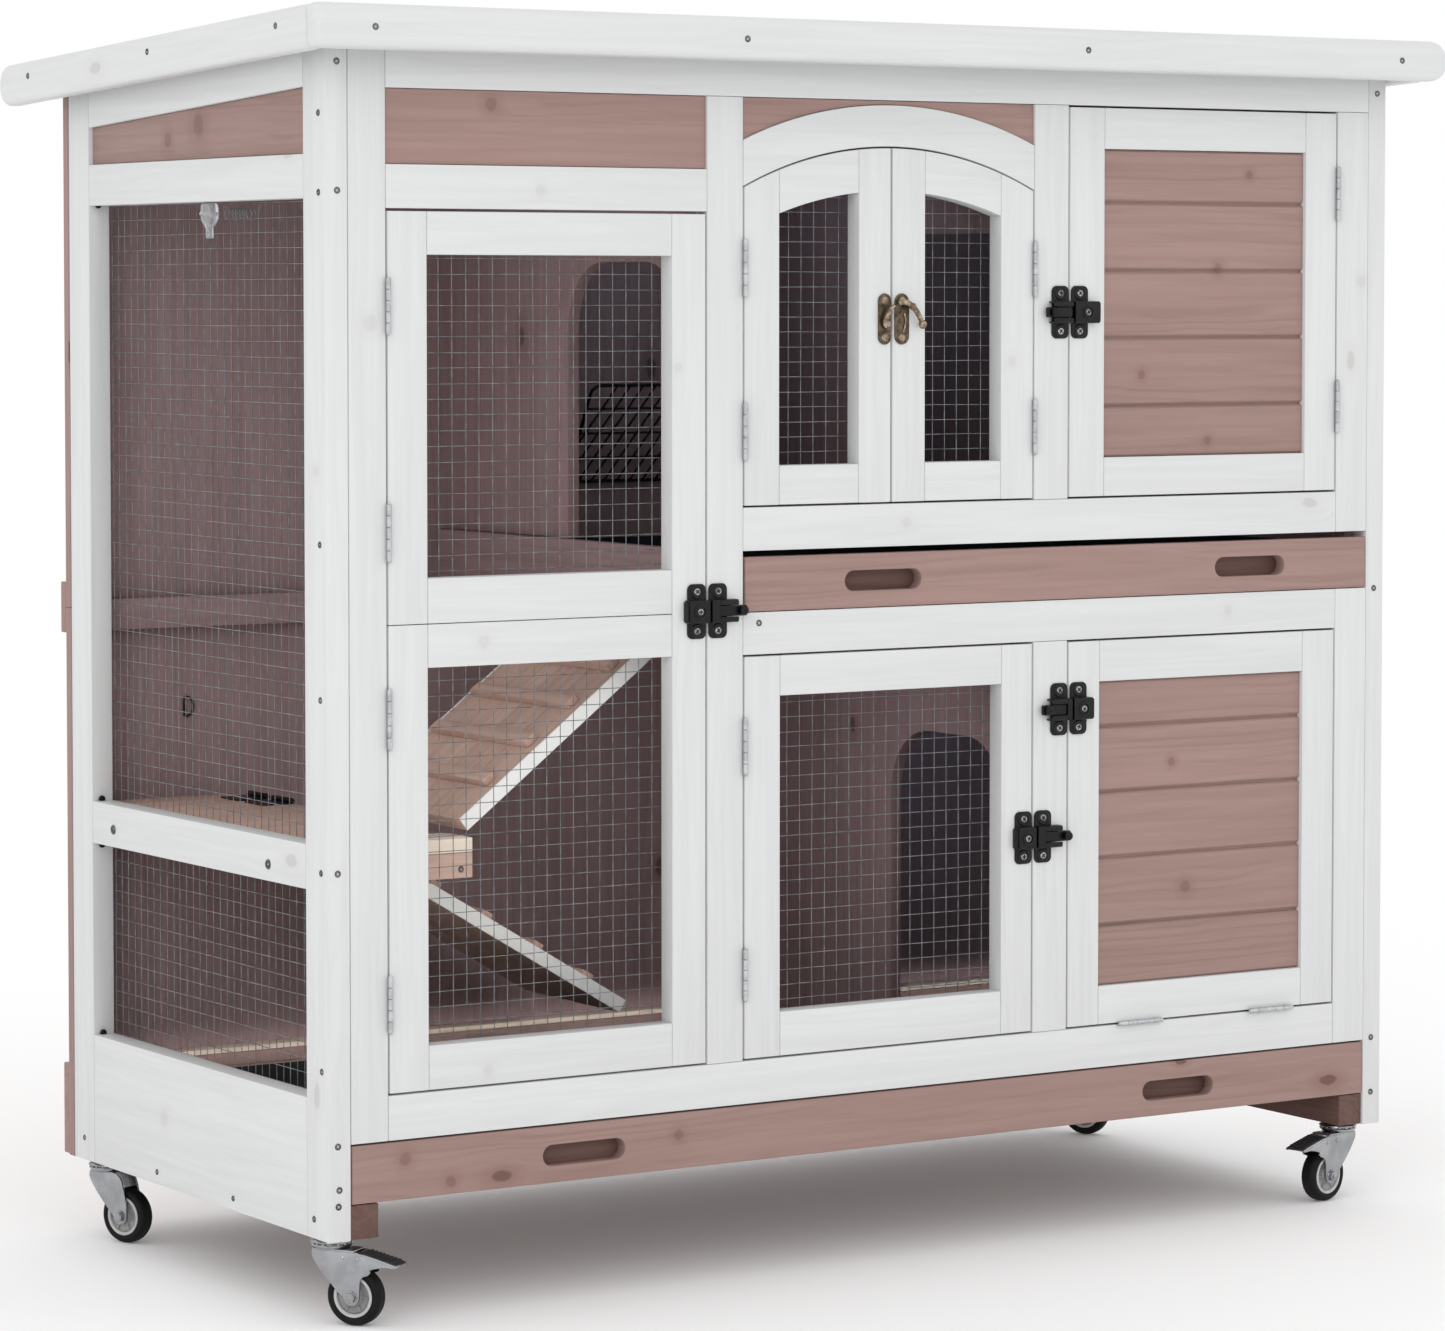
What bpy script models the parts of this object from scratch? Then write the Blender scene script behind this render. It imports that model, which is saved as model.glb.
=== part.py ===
"""Two-storey rabbit hutch on four casters.

Design coordinates are millimetres: x from the left outer face, y from the
front face, z from the underside of the side panels.  at() turns them into
the part's frame: metres, +Z up, origin at the centre of the footprint on the
floor, front facing -Y.
"""
import math

import bmesh
import bpy
from mathutils import Matrix, Vector

# ------------------------------------------------------------ dimensions (mm)
CX, CY, LIFT = 545.0, 253.737, 70.0      # footprint centre, height on casters

W = 1089.4                # body width over the side panels
D = 480.0                 # depth of the side panels
T = 20.0                  # side panel thickness
TF = 18.0                 # front board and door thickness
POST = 38.6               # width of a side panel's stiles
GAP = 0.3                 # assembly gap between touching pieces
REVEAL = 1.5              # gap round each door

TOP = 971.0               # top of the front top rail
ROOF_FALL = 0.0463        # fall of the roof towards the back
ROOF_Z0 = 972.8           # underside of the roof deck at y = 0

X_STILE = (20.3, 54.4)    # left stile of the front
X_MID = (358.5, 394.1)    # middle stile
X_DIV = (695.2, 731.8)    # divider between the right-hand bays
X_END = (1033.5, 1069.4)  # right stile

Z_RAIL_BOT = (78.0, 114.7)
Z_RAIL_LOW = (458.0, 493.8)     # under the upper tray
Z_RAIL_UP = (545.5, 582.2)      # over the upper tray
Z_HEAD = (829.8, 865.3)         # over the tall door
Z_TOP = 926.0                   # underside of the top rail

ARCH_SPRING, ARCH_PEAK = 851.3, 886.9   # door arch
BAND_SPRING, BAND_PEAK = 890.0, 922.0   # outer edge of the arch band

UP_TRAY_Z = (494.3, 540.3)
LO_TRAY_Z = (29.3, 76.5)
SLOT = (79.0, 17.5)       # finger slots in the tray fronts

WHEEL_R, WHEEL_W, BORE_R = 24.0, 15.0, 2.9
AXLE = (22.0, -46.0)      # axle's trail and height from the swivel centre
CASTERS = {"front_left": (16.0, 26.0, -54.0, True),
           "front_right": (1060.0, 24.0, -168.0, True),
           "back_left": (16.0, 445.0, -66.0, False),
           "back_right": (1060.0, 445.0, -60.0, False)}

ROOF_TILT = math.atan(ROOF_FALL)
ROOF_AXIS = (494.5, 949.6)      # y, z of the lid's hinge line

# ---------------------------------------------------------------- scene set-up
for old in list(bpy.data.objects):
    bpy.data.objects.remove(old, do_unlink=True)

scene = bpy.context.scene
parts = bpy.data.collections.new("rabbit_hutch")
cutters = bpy.data.collections.new("hutch_cutters")
scene.collection.children.link(parts)
scene.collection.children.link(cutters)


def at(x, y, z):
    return Vector(((x - CX) / 1000.0, (y - CY) / 1000.0, (z + LIFT) / 1000.0))


PALETTE = {
    "white_wood": ((0.80, 0.80, 0.79), 0.55, 0.0),
    "brown_wood": ((0.36, 0.24, 0.21), 0.60, 0.0),
    "raw_wood": ((0.72, 0.54, 0.44), 0.60, 0.0),
    "zinc_mesh": ((0.55, 0.55, 0.55), 0.35, 0.9),
    "black_metal": ((0.03, 0.03, 0.03), 0.40, 0.6),
    "bright_steel": ((0.75, 0.75, 0.76), 0.22, 1.0),
    "antique_brass": ((0.38, 0.30, 0.17), 0.38, 0.9),
    "tyre_rubber": ((0.03, 0.03, 0.03), 0.75, 0.0),
    "roof_felt": ((0.22, 0.22, 0.22), 0.95, 0.0),
}


def material(node, look):
    colour, rough, metal = PALETTE[look]
    mat = bpy.data.materials.new(node + "_" + look)
    mat.use_nodes = True
    shader = mat.node_tree.nodes["Principled BSDF"]
    shader.inputs["Base Color"].default_value = (*colour, 1.0)
    shader.inputs["Roughness"].default_value = rough
    shader.inputs["Metallic"].default_value = metal
    mat.diffuse_color = (*colour, 1.0)
    return mat


def house(obj, collection):
    for c in list(obj.users_collection):
        c.objects.unlink(obj)
    collection.objects.link(obj)


def finish(obj, name, look, pivot=None):
    obj.name = name
    obj.data.name = name
    house(obj, parts)
    obj.data.materials.clear()
    obj.data.materials.append(material(name, look))
    if pivot is not None:
        bpy.context.view_layer.update()
        obj.parent = pivot
        obj.matrix_parent_inverse = pivot.matrix_world.inverted()
    return obj


def empty(name, location, rotation=(0.0, 0.0, 0.0)):
    e = bpy.data.objects.new(name, None)
    e.empty_display_size = 0.03
    e.location = location
    e.rotation_euler = rotation
    parts.objects.link(e)
    bpy.context.view_layer.update()
    return e


def cutter(obj):
    house(obj, cutters)
    obj.hide_render = True
    obj.display_type = "WIRE"
    return obj


def cube(lo, hi):
    """A cube primitive sized and placed between two corners in metres."""
    lo, hi = Vector(lo), Vector(hi)
    bpy.ops.mesh.primitive_cube_add(size=1.0, location=(lo + hi) / 2)
    obj = bpy.context.active_object
    size = hi - lo
    obj.data.transform(Matrix.Diagonal((size.x, size.y, size.z, 1.0)))
    return obj


def solid(lo, hi):
    """A cube between two corners, with its origin left at the local zero."""
    lo, hi = Vector(lo), Vector(hi)
    bpy.ops.mesh.primitive_cube_add(size=1.0)
    obj = bpy.context.active_object
    size = hi - lo
    obj.data.transform(Matrix.Translation((lo + hi) / 2) @ Matrix.Diagonal((size.x, size.y, size.z, 1.0)))
    return obj


def board(name, xs, ys, zs, look, pivot=None):
    obj = cube(at(xs[0], ys[0], zs[0]), at(xs[1], ys[1], zs[1]))
    return finish(obj, name, look, pivot)


def outline(name, loops, half, location, rotation):
    """A flat outline with holes, extruded both ways by half."""
    curve = bpy.data.curves.new(name, "CURVE")
    curve.dimensions = "2D"
    curve.fill_mode = "BOTH"
    curve.extrude = half / 1000.0
    for loop in loops:
        spline = curve.splines.new("POLY")
        spline.points.add(len(loop) - 1)
        for point, (u, v) in zip(spline.points, loop):
            point.co = (u / 1000.0, v / 1000.0, 0.0, 1.0)
        spline.use_cyclic_u = True
    obj = bpy.data.objects.new(name, curve)
    obj.location = location
    obj.rotation_euler = rotation
    parts.objects.link(obj)
    return obj


def front_panel(name, loops, ys, look, pivot=None):
    """An outline in the x-z plane; loops are (x, z) in design millimetres."""
    moved = [[(x - CX, z + LIFT) for x, z in loop] for loop in loops]
    y = (ys[0] + ys[1]) / 2
    obj = outline(name, moved, (ys[1] - ys[0]) / 2,
                  (0.0, (y - CY) / 1000.0, 0.0), (math.radians(90), 0.0, 0.0))
    return finish(obj, name, look, pivot)


def side_panel(name, loops, xs, look, pivot=None):
    """An outline in the y-z plane; loops are (y, z) in design millimetres."""
    moved = [[(y - CY, z + LIFT) for y, z in loop] for loop in loops]
    x = (xs[0] + xs[1]) / 2
    obj = outline(name, moved, (xs[1] - xs[0]) / 2,
                  ((x - CX) / 1000.0, 0.0, 0.0),
                  (math.radians(90), 0.0, math.radians(90)))
    return finish(obj, name, look, pivot)


def rect(u0, u1, v0, v1):
    return [(u0, v0), (u1, v0), (u1, v1), (u0, v1)]


def stadium(cu, cv, length, height, n=6):
    r = height / 2
    pts = []
    for sign, start in ((1, -90), (-1, 90)):
        for i in range(n + 1):
            a = math.radians(start + 180 * i / n)
            pts.append((cu + sign * (length / 2 - r) + r * math.cos(a),
                        cv + r * math.sin(a)))
    return pts


def arc_z(x, x0, x1, spring, peak):
    """Height at x of the circular arc from (x0, spring) over the peak to x1."""
    half, rise = (x1 - x0) / 2, peak - spring
    radius = (half * half + rise * rise) / (2 * rise)
    dx = x - (x0 + x1) / 2
    return peak - radius + math.sqrt(radius * radius - dx * dx)


def arc_points(xa, xb, spring, peak, n, drop=0.0):
    """Points along the door arch between two x positions."""
    return [(x, arc_z(x, X_MID[1], X_DIV[0], spring, peak) - drop)
            for x in (xa + (xb - xa) * i / n for i in range(n + 1))]


def roof_under(y, clear=0.5):
    return ROOF_Z0 - ROOF_FALL * y - clear


def to_mesh(obj):
    """Replace a curve object by a welded mesh object at the same place."""
    bpy.context.view_layer.update()
    deps = bpy.context.evaluated_depsgraph_get()
    mesh = bpy.data.meshes.new_from_object(obj.evaluated_get(deps))
    bm = bmesh.new()
    bm.from_mesh(mesh)
    bmesh.ops.remove_doubles(bm, verts=bm.verts, dist=1e-6)
    bmesh.ops.recalc_face_normals(bm, faces=bm.faces)
    bm.to_mesh(mesh)
    bm.free()
    new = bpy.data.objects.new(obj.name + "_mesh", mesh)
    new.matrix_world = obj.matrix_world.copy()
    for c in obj.users_collection:
        c.objects.link(new)
    bpy.data.objects.remove(obj, do_unlink=True)
    return new


def combine(base, tool, operation):
    cutter(tool)
    mod = base.modifiers.new(operation.lower(), "BOOLEAN")
    mod.operation = operation
    mod.solver = "EXACT"
    mod.object = tool
    return base


# ----------------------------------------------------------------- side panels
def side_outline():
    return [(0.0, 0.0), (D, 0.0), (D, roof_under(D)), (0.0, roof_under(0.0))]


SY = (POST, D - 40.6)          # clear width between a side panel's stiles
RAIL_UP = (837.7, 873.5)
RAIL_MID = (281.9, 318.9)
BASE_TOP = 113.5
GABLE = (927.0, 905.5)         # underside of the sloping top rail, front and back

side_panel("left_side_frame", [
    side_outline(),
    rect(SY[0], SY[1], BASE_TOP, RAIL_MID[0]),
    rect(SY[0], SY[1], RAIL_MID[1], RAIL_UP[0]),
    [(SY[0], RAIL_UP[1]), (SY[1], RAIL_UP[1]), (SY[1], GABLE[1]), (SY[0], GABLE[0])],
], (0.0, T), "white_wood")
side_panel("left_gable_board", [[
    (SY[0] + GAP, RAIL_UP[1] + GAP), (SY[1] - GAP, RAIL_UP[1] + GAP),
    (SY[1] - GAP, GABLE[1] - GAP), (SY[0] + GAP, GABLE[0] - GAP)]],
    (4.0, 14.0), "brown_wood")
board("left_side_mesh", (T + GAP, T + GAP + 1.0), (28.0, 452.0), (100.0, 850.0), "zinc_mesh")

side_panel("right_side_frame", [
    side_outline(),
    rect(SY[0], SY[1], BASE_TOP, Z_RAIL_LOW[0]),
    rect(SY[0], SY[1], Z_RAIL_LOW[1], GABLE[1] - 4.0),
], (W - T, W), "white_wood")
side_panel("right_side_board", [[
    (TF + GAP, 82.0), (D - GAP, 82.0), (D - GAP, roof_under(D)),
    (TF + GAP, roof_under(TF))]], (W - T - GAP - 10.0, W - T - GAP), "brown_wood")

# ----------------------------------------------------------------------- front
FY = (0.0, TF)
board("front_left_stile", X_STILE, FY, (Z_RAIL_BOT[0], TOP), "white_wood")
board("front_middle_stile", X_MID, FY, (Z_RAIL_BOT[1] + GAP, Z_TOP - GAP), "white_wood")
board("front_top_rail", (X_STILE[1] + GAP, X_END[1]), FY, (Z_TOP, TOP), "white_wood")
board("front_header_rail", (X_STILE[1] + GAP, X_MID[0] - GAP), FY, Z_HEAD, "white_wood")
board("front_header_board", (X_STILE[1] + GAP, X_MID[0] - GAP), (2.5, 12.5),
      (Z_HEAD[1] + GAP, Z_TOP - GAP), "brown_wood")

AX = (X_MID[1] + GAP, X_DIV[0] - GAP)
front_panel("front_arch_header", [
    arc_points(AX[0], AX[1], ARCH_SPRING, ARCH_PEAK, 20)
    + arc_points(AX[1], AX[0], BAND_SPRING, BAND_PEAK, 20)], FY, "white_wood")
front_panel("front_arch_board", [
    arc_points(AX[0], AX[1], BAND_SPRING, BAND_PEAK, 20, -GAP)
    + [(AX[1], Z_TOP - GAP), (AX[0], Z_TOP - GAP)]], (2.5, 12.5), "brown_wood")

front_panel("front_upper_frame", [[
    (X_MID[1] + GAP, Z_RAIL_UP[0]), (X_END[1], Z_RAIL_UP[0]), (X_END[1], Z_TOP - GAP),
    (X_END[0], Z_TOP - GAP), (X_END[0], Z_RAIL_UP[1]), (X_DIV[1], Z_RAIL_UP[1]),
    (X_DIV[1], Z_TOP - GAP), (X_DIV[0], Z_TOP - GAP), (X_DIV[0], Z_RAIL_UP[1]),
    (X_MID[1] + GAP, Z_RAIL_UP[1])]], FY, "white_wood")
front_panel("front_lower_frame", [
    [(X_STILE[1] + GAP, Z_RAIL_BOT[0]), (X_END[1], Z_RAIL_BOT[0]), (X_END[1], Z_RAIL_LOW[1]),
     (X_MID[1] + GAP, Z_RAIL_LOW[1]), (X_MID[1] + GAP, Z_RAIL_LOW[0]),
     (X_DIV[0], Z_RAIL_LOW[0]), (X_DIV[0], Z_RAIL_BOT[1]), (X_STILE[1] + GAP, Z_RAIL_BOT[1])],
    rect(X_DIV[1], X_END[0], Z_RAIL_BOT[1], Z_RAIL_LOW[0])], FY, "white_wood")

# ------------------------------------------------------- back walls and inside
BY = (D + GAP, D + GAP + 12.0)
board("back_upper_wall", (0.0, W), BY, (486.0, roof_under(BY[1])), "brown_wood")
board("back_lower_wall", (0.0, W), BY, (0.0, 485.6), "brown_wood")
board("back_tray_batten", (T + GAP + 2.0, 1058.0), (462.0, D), (466.0, 493.6), "brown_wood")

PY = (TF + GAP + 1.2, D)          # run of the partitions from front to back


def doorway(y0, y1, base, top, radius, n=6):
    """An opening from the panel's lower edge with rounded top corners."""
    pts = [(y1, base)]
    for cy, start in ((y1 - radius, 0), (y0 + radius, 90)):
        for i in range(n + 1):
            a = math.radians(start + 90 * i / n)
            pts.append((cy + radius * math.cos(a), top - radius + radius * math.sin(a)))
    pts.append((y0, base))
    return pts


def partition(name, xs, base, top0, top1, door, radius):
    opening = doorway(door[0], door[1], base, door[2], radius)
    loop = [(PY[0], base)] + opening[::-1] + [(PY[1], base), (PY[1], top1), (PY[0], top0)]
    return side_panel(name, [loop], xs, "brown_wood")


partition("upper_left_partition", (370.3, 382.3), 547.0,
          roof_under(PY[0]), roof_under(PY[1]), (60.0, 249.0, 789.0), 60.0)
partition("upper_right_partition", (707.0, 719.0), 547.0,
          roof_under(PY[0]), roof_under(PY[1]), (60.0, 250.0, 815.0), 25.0)
partition("lower_partition", (707.0, 719.0), 84.0, 458.0, 458.0, (60.0, 238.0, 366.0), 60.0)
board("tray_sill_board", (358.8, 370.0), (PY[0], 461.7), (486.0, 546.7), "brown_wood")

LAND = (283.0, 304.0, 316.0)      # apron bottom, deck bottom, deck top
land = cube(at(22.0, 30.0, LAND[1]), at(150.0, 461.0, LAND[2]))
combine(land, cube(at(22.0, 30.0, LAND[0]), at(150.0, 44.0, LAND[1] + 2)), "UNION")
combine(land, cube(at(22.0, 447.0, LAND[0]), at(150.0, 461.0, LAND[1] + 2)), "UNION")
finish(land, "landing_platform", "raw_wood")

board("left_skid", (T + GAP, 46.2), (2.0, 478.0), (0.4, 28.6), "brown_wood")
board("right_skid", (1043.2, W - T - GAP), (2.0, 478.0), (0.4, 28.6), "brown_wood")

rack = solid((-0.085, -0.001, -0.052), (0.085, 0.001, 0.052))
rack.location = at(585.0, 448.0, 632.0)
rack.rotation_euler = (math.radians(28), 0.0, 0.0)
finish(rack, "hay_rack", "black_metal")

# ------------------------------------------------------------------------ roof
lid = empty("roof_lid_axis", at(CX, ROOF_AXIS[0], ROOF_AXIS[1]), (-ROOF_TILT, 0.0, 0.0))


def on_lid(obj, name, look):
    finish(obj, name, look)
    obj.parent = lid
    return obj


LID_Z = (-20.5, 15.3)             # trim's lower and upper edge, across the slope
LID_Y = (-542.5, -524.3, 61.5)    # front of trim, back of front trim, back end


def mm3(x, y, z):
    return Vector((x / 1000.0, y / 1000.0, z / 1000.0))


on_lid(solid(mm3(-559.7, -524.0, 0.3), mm3(548.0, 60.0, 12.3)), "roof_deck", "roof_felt")


def bullnose(u0, u1, v0, v1, square_start, n=6):
    """A board outline whose u1 end, or both ends, are half round."""
    r = (v1 - v0) / 2 - 0.6
    pts = [(u0, v1), (u0, v0)] if square_start else []
    for cv, start in ((v0 + r, -90), (v1 - r, 0)):
        for i in range(n + 1):
            a = math.radians(start + 90 * i / n)
            pts.append((u1 - r + r * math.cos(a), cv + r * math.sin(a)))
    return pts


front_trim = outline("roof_front_trim", [bullnose(-578.0, 578.0, LID_Z[0], LID_Z[1], True)],
                     9.1, mm3(0.0, (LID_Y[0] + LID_Y[1]) / 2, 0.0), (math.radians(90), 0.0, 0.0))
on_lid(front_trim, "roof_front_trim", "white_wood")
for trim_name, x in (("roof_left_trim", -569.0), ("roof_right_trim", 557.4)):
    trim = outline(trim_name, [bullnose(LID_Y[1] + GAP, LID_Y[2], LID_Z[0], LID_Z[1], True)],
                   9.0, mm3(x, 0.0, 0.0), (math.radians(90), 0.0, math.radians(90)))
    on_lid(trim, trim_name, "white_wood")

# ----------------------------------------------------------------------- doors
KNUCKLE = -2.5                    # hinge pins stand this far in front (y)


def door_axis(name, x, z):
    return empty(name, at(x, KNUCKLE, z))


tall = door_axis("tall_door_axis", X_STILE[1] + 0.8, 472.0)
TALL_X = (X_STILE[1] + REVEAL, X_MID[0] - REVEAL)
TALL_Z = (Z_RAIL_BOT[1] + REVEAL, Z_HEAD[0] - REVEAL - 0.5)
front_panel("tall_door_frame", [
    rect(*TALL_X, *TALL_Z), rect(92.0, 324.0, 532.0, 792.7),
    rect(92.0, 324.0, 152.6, 459.4)], FY, "white_wood", tall)
MESH_Y = (TF + GAP, TF + GAP + 1.0)
board("tall_door_mesh", (82.0, 334.0), MESH_Y, (142.0, 803.0), "zinc_mesh", tall)

arch_l = door_axis("arch_left_axis", X_MID[1] + 0.8, 700.0)
arch_r = door_axis("arch_right_axis", X_DIV[0] - 0.8, 700.0)
ARCH_Z0 = Z_RAIL_UP[1] + REVEAL
MIDDLE = (X_MID[1] + X_DIV[0]) / 2


def arch_leaf(name, x0, x1, w0, w1, pivot):
    top = arc_points(x1, x0, ARCH_SPRING, ARCH_PEAK, 10, REVEAL)
    window = arc_points(w1, w0, ARCH_SPRING, ARCH_PEAK, 8, 38.0)
    front_panel(name + "_frame", [
        [(x0, ARCH_Z0), (x1, ARCH_Z0)] + top,
        [(w0, 617.0), (w1, 617.0)] + window], FY, "white_wood", pivot)
    front_panel(name + "_mesh", [
        [(w0 - 8, 609.0), (w1 + 8, 609.0)]
        + arc_points(w1 + 8, w0 - 8, ARCH_SPRING, ARCH_PEAK, 6, 30.0)],
        MESH_Y, "zinc_mesh", pivot)


arch_leaf("arch_left_door", X_MID[1] + REVEAL, MIDDLE - 1.0, 430.4, 511.0, arch_l)
arch_leaf("arch_right_door", MIDDLE + 1.0, X_DIV[0] - REVEAL, 579.5, 659.5, arch_r)

RX = (X_DIV[1] + REVEAL, X_END[0] - REVEAL)
up_r = door_axis("upper_right_axis", X_END[0] - 0.8, 750.0)
front_panel("upper_right_door_frame", [
    rect(*RX, ARCH_Z0, Z_TOP - REVEAL), rect(771.0, 996.6, 618.0, 888.4)],
    FY, "white_wood", up_r)
board("upper_right_door_slats", (771.0 + GAP, 996.6 - GAP), (4.0, 14.0),
      (618.0 + GAP, 888.4 - GAP), "brown_wood", up_r)

MX = (X_MID[1] + REVEAL, X_DIV[0] - REVEAL)
LZ = (Z_RAIL_BOT[1] + REVEAL, Z_RAIL_LOW[0] - REVEAL)
lo_m = door_axis("lower_middle_axis", X_MID[1] + 0.8, 286.0)
front_panel("lower_middle_door_frame", [
    rect(*MX, *LZ), rect(431.3, 661.0, 154.0, 422.3)], FY, "white_wood", lo_m)
board("lower_middle_door_mesh", (421.0, 671.0), MESH_Y, (144.0, 432.0), "zinc_mesh", lo_m)

lo_r = empty("lower_right_axis", at(882.0, KNUCKLE, Z_RAIL_BOT[1] + 0.8))
front_panel("lower_right_door_frame", [
    rect(*RX, *LZ), rect(767.0, 995.8, 150.3, 420.2)], FY, "white_wood", lo_r)
board("lower_right_door_slats", (767.0 + GAP, 995.8 - GAP), (4.0, 14.0),
      (150.3 + GAP, 420.2 - GAP), "brown_wood", lo_r)


# --------------------------------------------------------------------- latches
def bolt(name, x0, x1, z, knob_x, pivot):
    """A flat sliding tongue with a round knob, on the front of a fixed stile."""
    tongue = cube(at(x0, -7.0, z - 4.5), at(x1, -3.5, z + 4.5))
    bpy.ops.mesh.primitive_cylinder_add(vertices=12, radius=0.0042, depth=0.0065,
                                        location=at(knob_x, -9.5, z),
                                        rotation=(math.radians(90), 0.0, 0.0))
    combine(tongue, bpy.context.active_object, "UNION")
    return finish(tongue, name, "black_metal", pivot)


for bolt_name, x0, x1, z, knob_x in (
        ("tall_door_bolt", 361.0, 394.0, 496.5, 389.0),
        ("upper_right_bolt", 704.5, 731.3, 745.5, 711.5),
        ("lower_right_bolt", 701.0, 731.3, 398.0, 706.0),
        ("lower_middle_bolt", 697.0, 731.3, 287.0, 726.5)):
    bolt(bolt_name, x0, x1, z, knob_x, empty(bolt_name + "_slide", at((x0 + x1) / 2, -5.0, z)))

hook_at = (561.5, 750.5)
hook_pivot = empty("arch_hook_axis", at(hook_at[0], -5.5, hook_at[1]))
hook_pivot.parent = arch_r
hook_pivot.matrix_parent_inverse = arch_r.matrix_world.inverted()


def smooth_path(points, per_span):
    """Catmull-Rom points through the given ones."""
    out = []
    p = [points[0]] + points + [points[-1]]
    for i in range(1, len(p) - 2):
        for k in range(per_span):
            t = k / per_span
            a, b, c, d = (Vector(q) for q in p[i - 1:i + 3])
            out.append(0.5 * ((2 * b) + (c - a) * t + (2 * a - 5 * b + 4 * c - d) * t * t
                              + (3 * b - a - 3 * c + d) * t ** 3))
    out.append(Vector(points[-1]))
    return out


hook = bpy.data.curves.new("arch_door_hook", "CURVE")
hook.dimensions = "3D"
hook.bevel_depth = 0.0018
hook.bevel_resolution = 1
hook.use_fill_caps = True
path = smooth_path([(-14.0, 1.5), (-7.0, 5.0), (0.0, 4.5), (9.0, 2.0), (16.0, -5.0), (20.0, -14.0)], 3)
line = hook.splines.new("POLY")
line.points.add(len(path) - 1)
for point, q in zip(line.points, path):
    co = at(hook_at[0] + q.x, -5.5, hook_at[1] + q.y)
    point.co = (*co, 1.0)
hook_obj = bpy.data.objects.new("arch_door_hook", hook)
parts.objects.link(hook_obj)
finish(hook_obj, "arch_door_hook", "antique_brass", hook_pivot)


# ----------------------------------------------------------------------- trays
def tray(name, front_x, box_x, zs, slots, pivot):
    """Front board with finger slots, and an open box behind it."""
    front = cube(at(front_x[0], 0.0, zs[0]), at(front_x[1], 14.0, zs[1]))
    for i, (cx, cz) in enumerate(slots):
        hole = front_panel(name + "_slot_%d" % i, [stadium(cx, cz, *SLOT)], (-3.0, 17.0), "brown_wood")
        combine(front, to_mesh(hole), "DIFFERENCE")
    rim = zs[1] - 4.0
    box = cube(at(box_x[0], 13.2, zs[0] + 0.7), at(box_x[1], 459.0, rim))
    hollow = cube(at(box_x[0] + 10, 24.0, zs[0] + 6.0), at(box_x[1] - 10, 449.0, rim + 20.0))
    combine(box, hollow, "DIFFERENCE")
    combine(front, box, "UNION")
    return finish(front, name, "brown_wood", pivot)


up_slide = empty("upper_tray_slide", at(732.0, 0.0, 517.0))
tray("upper_tray", (396.3, 1068.2), (398.0, 1054.0), UP_TRAY_Z,
     ((536.8, 517.3), (935.0, 517.3)), up_slide)
lo_slide = empty("lower_tray_slide", at(545.0, 0.0, 52.0))
tray("lower_tray", (21.3, 1068.2), (24.0, 1054.0), LO_TRAY_Z,
     ((238.4, 52.0), (856.3, 52.0)), lo_slide)


# ----------------------------------------------------------------------- ramps
def ramp(name, foot, angle, length, ys, cleats, top):
    """A sloping board with cross cleats; foot is the hinge's (x, z)."""
    pivot = empty(name + "_axis", at(foot[0], (ys[0] + ys[1]) / 2, foot[1]))
    half = (ys[1] - ys[0]) / 2000.0
    slope = Matrix.Translation(pivot.location) @ Matrix.Rotation(-math.radians(angle), 4, "Y")
    deck = solid((0.004, -half, top - 0.012), (length / 1000.0, half, top))
    deck.matrix_world = slope
    for c in cleats:
        cleat = solid((c / 1000.0 - 0.006, 0.012 - half, top - 0.002),
                      (c / 1000.0 + 0.006, half - 0.012, top + 0.007))
        cleat.matrix_world = slope
        combine(deck, cleat, "UNION")
    return finish(deck, name, "raw_wood", pivot)


ramp("upper_ramp", (150.5, 317.5), 37.2, 256.0, (45.0, 232.0), (50.0, 100.0, 150.0, 200.0), 0.012)
ramp("lower_ramp", (151.0, 303.0), -30.7, 340.0, (272.0, 442.0), (60.0, 120.0, 180.0, 240.0, 300.0), 0.0)


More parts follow.
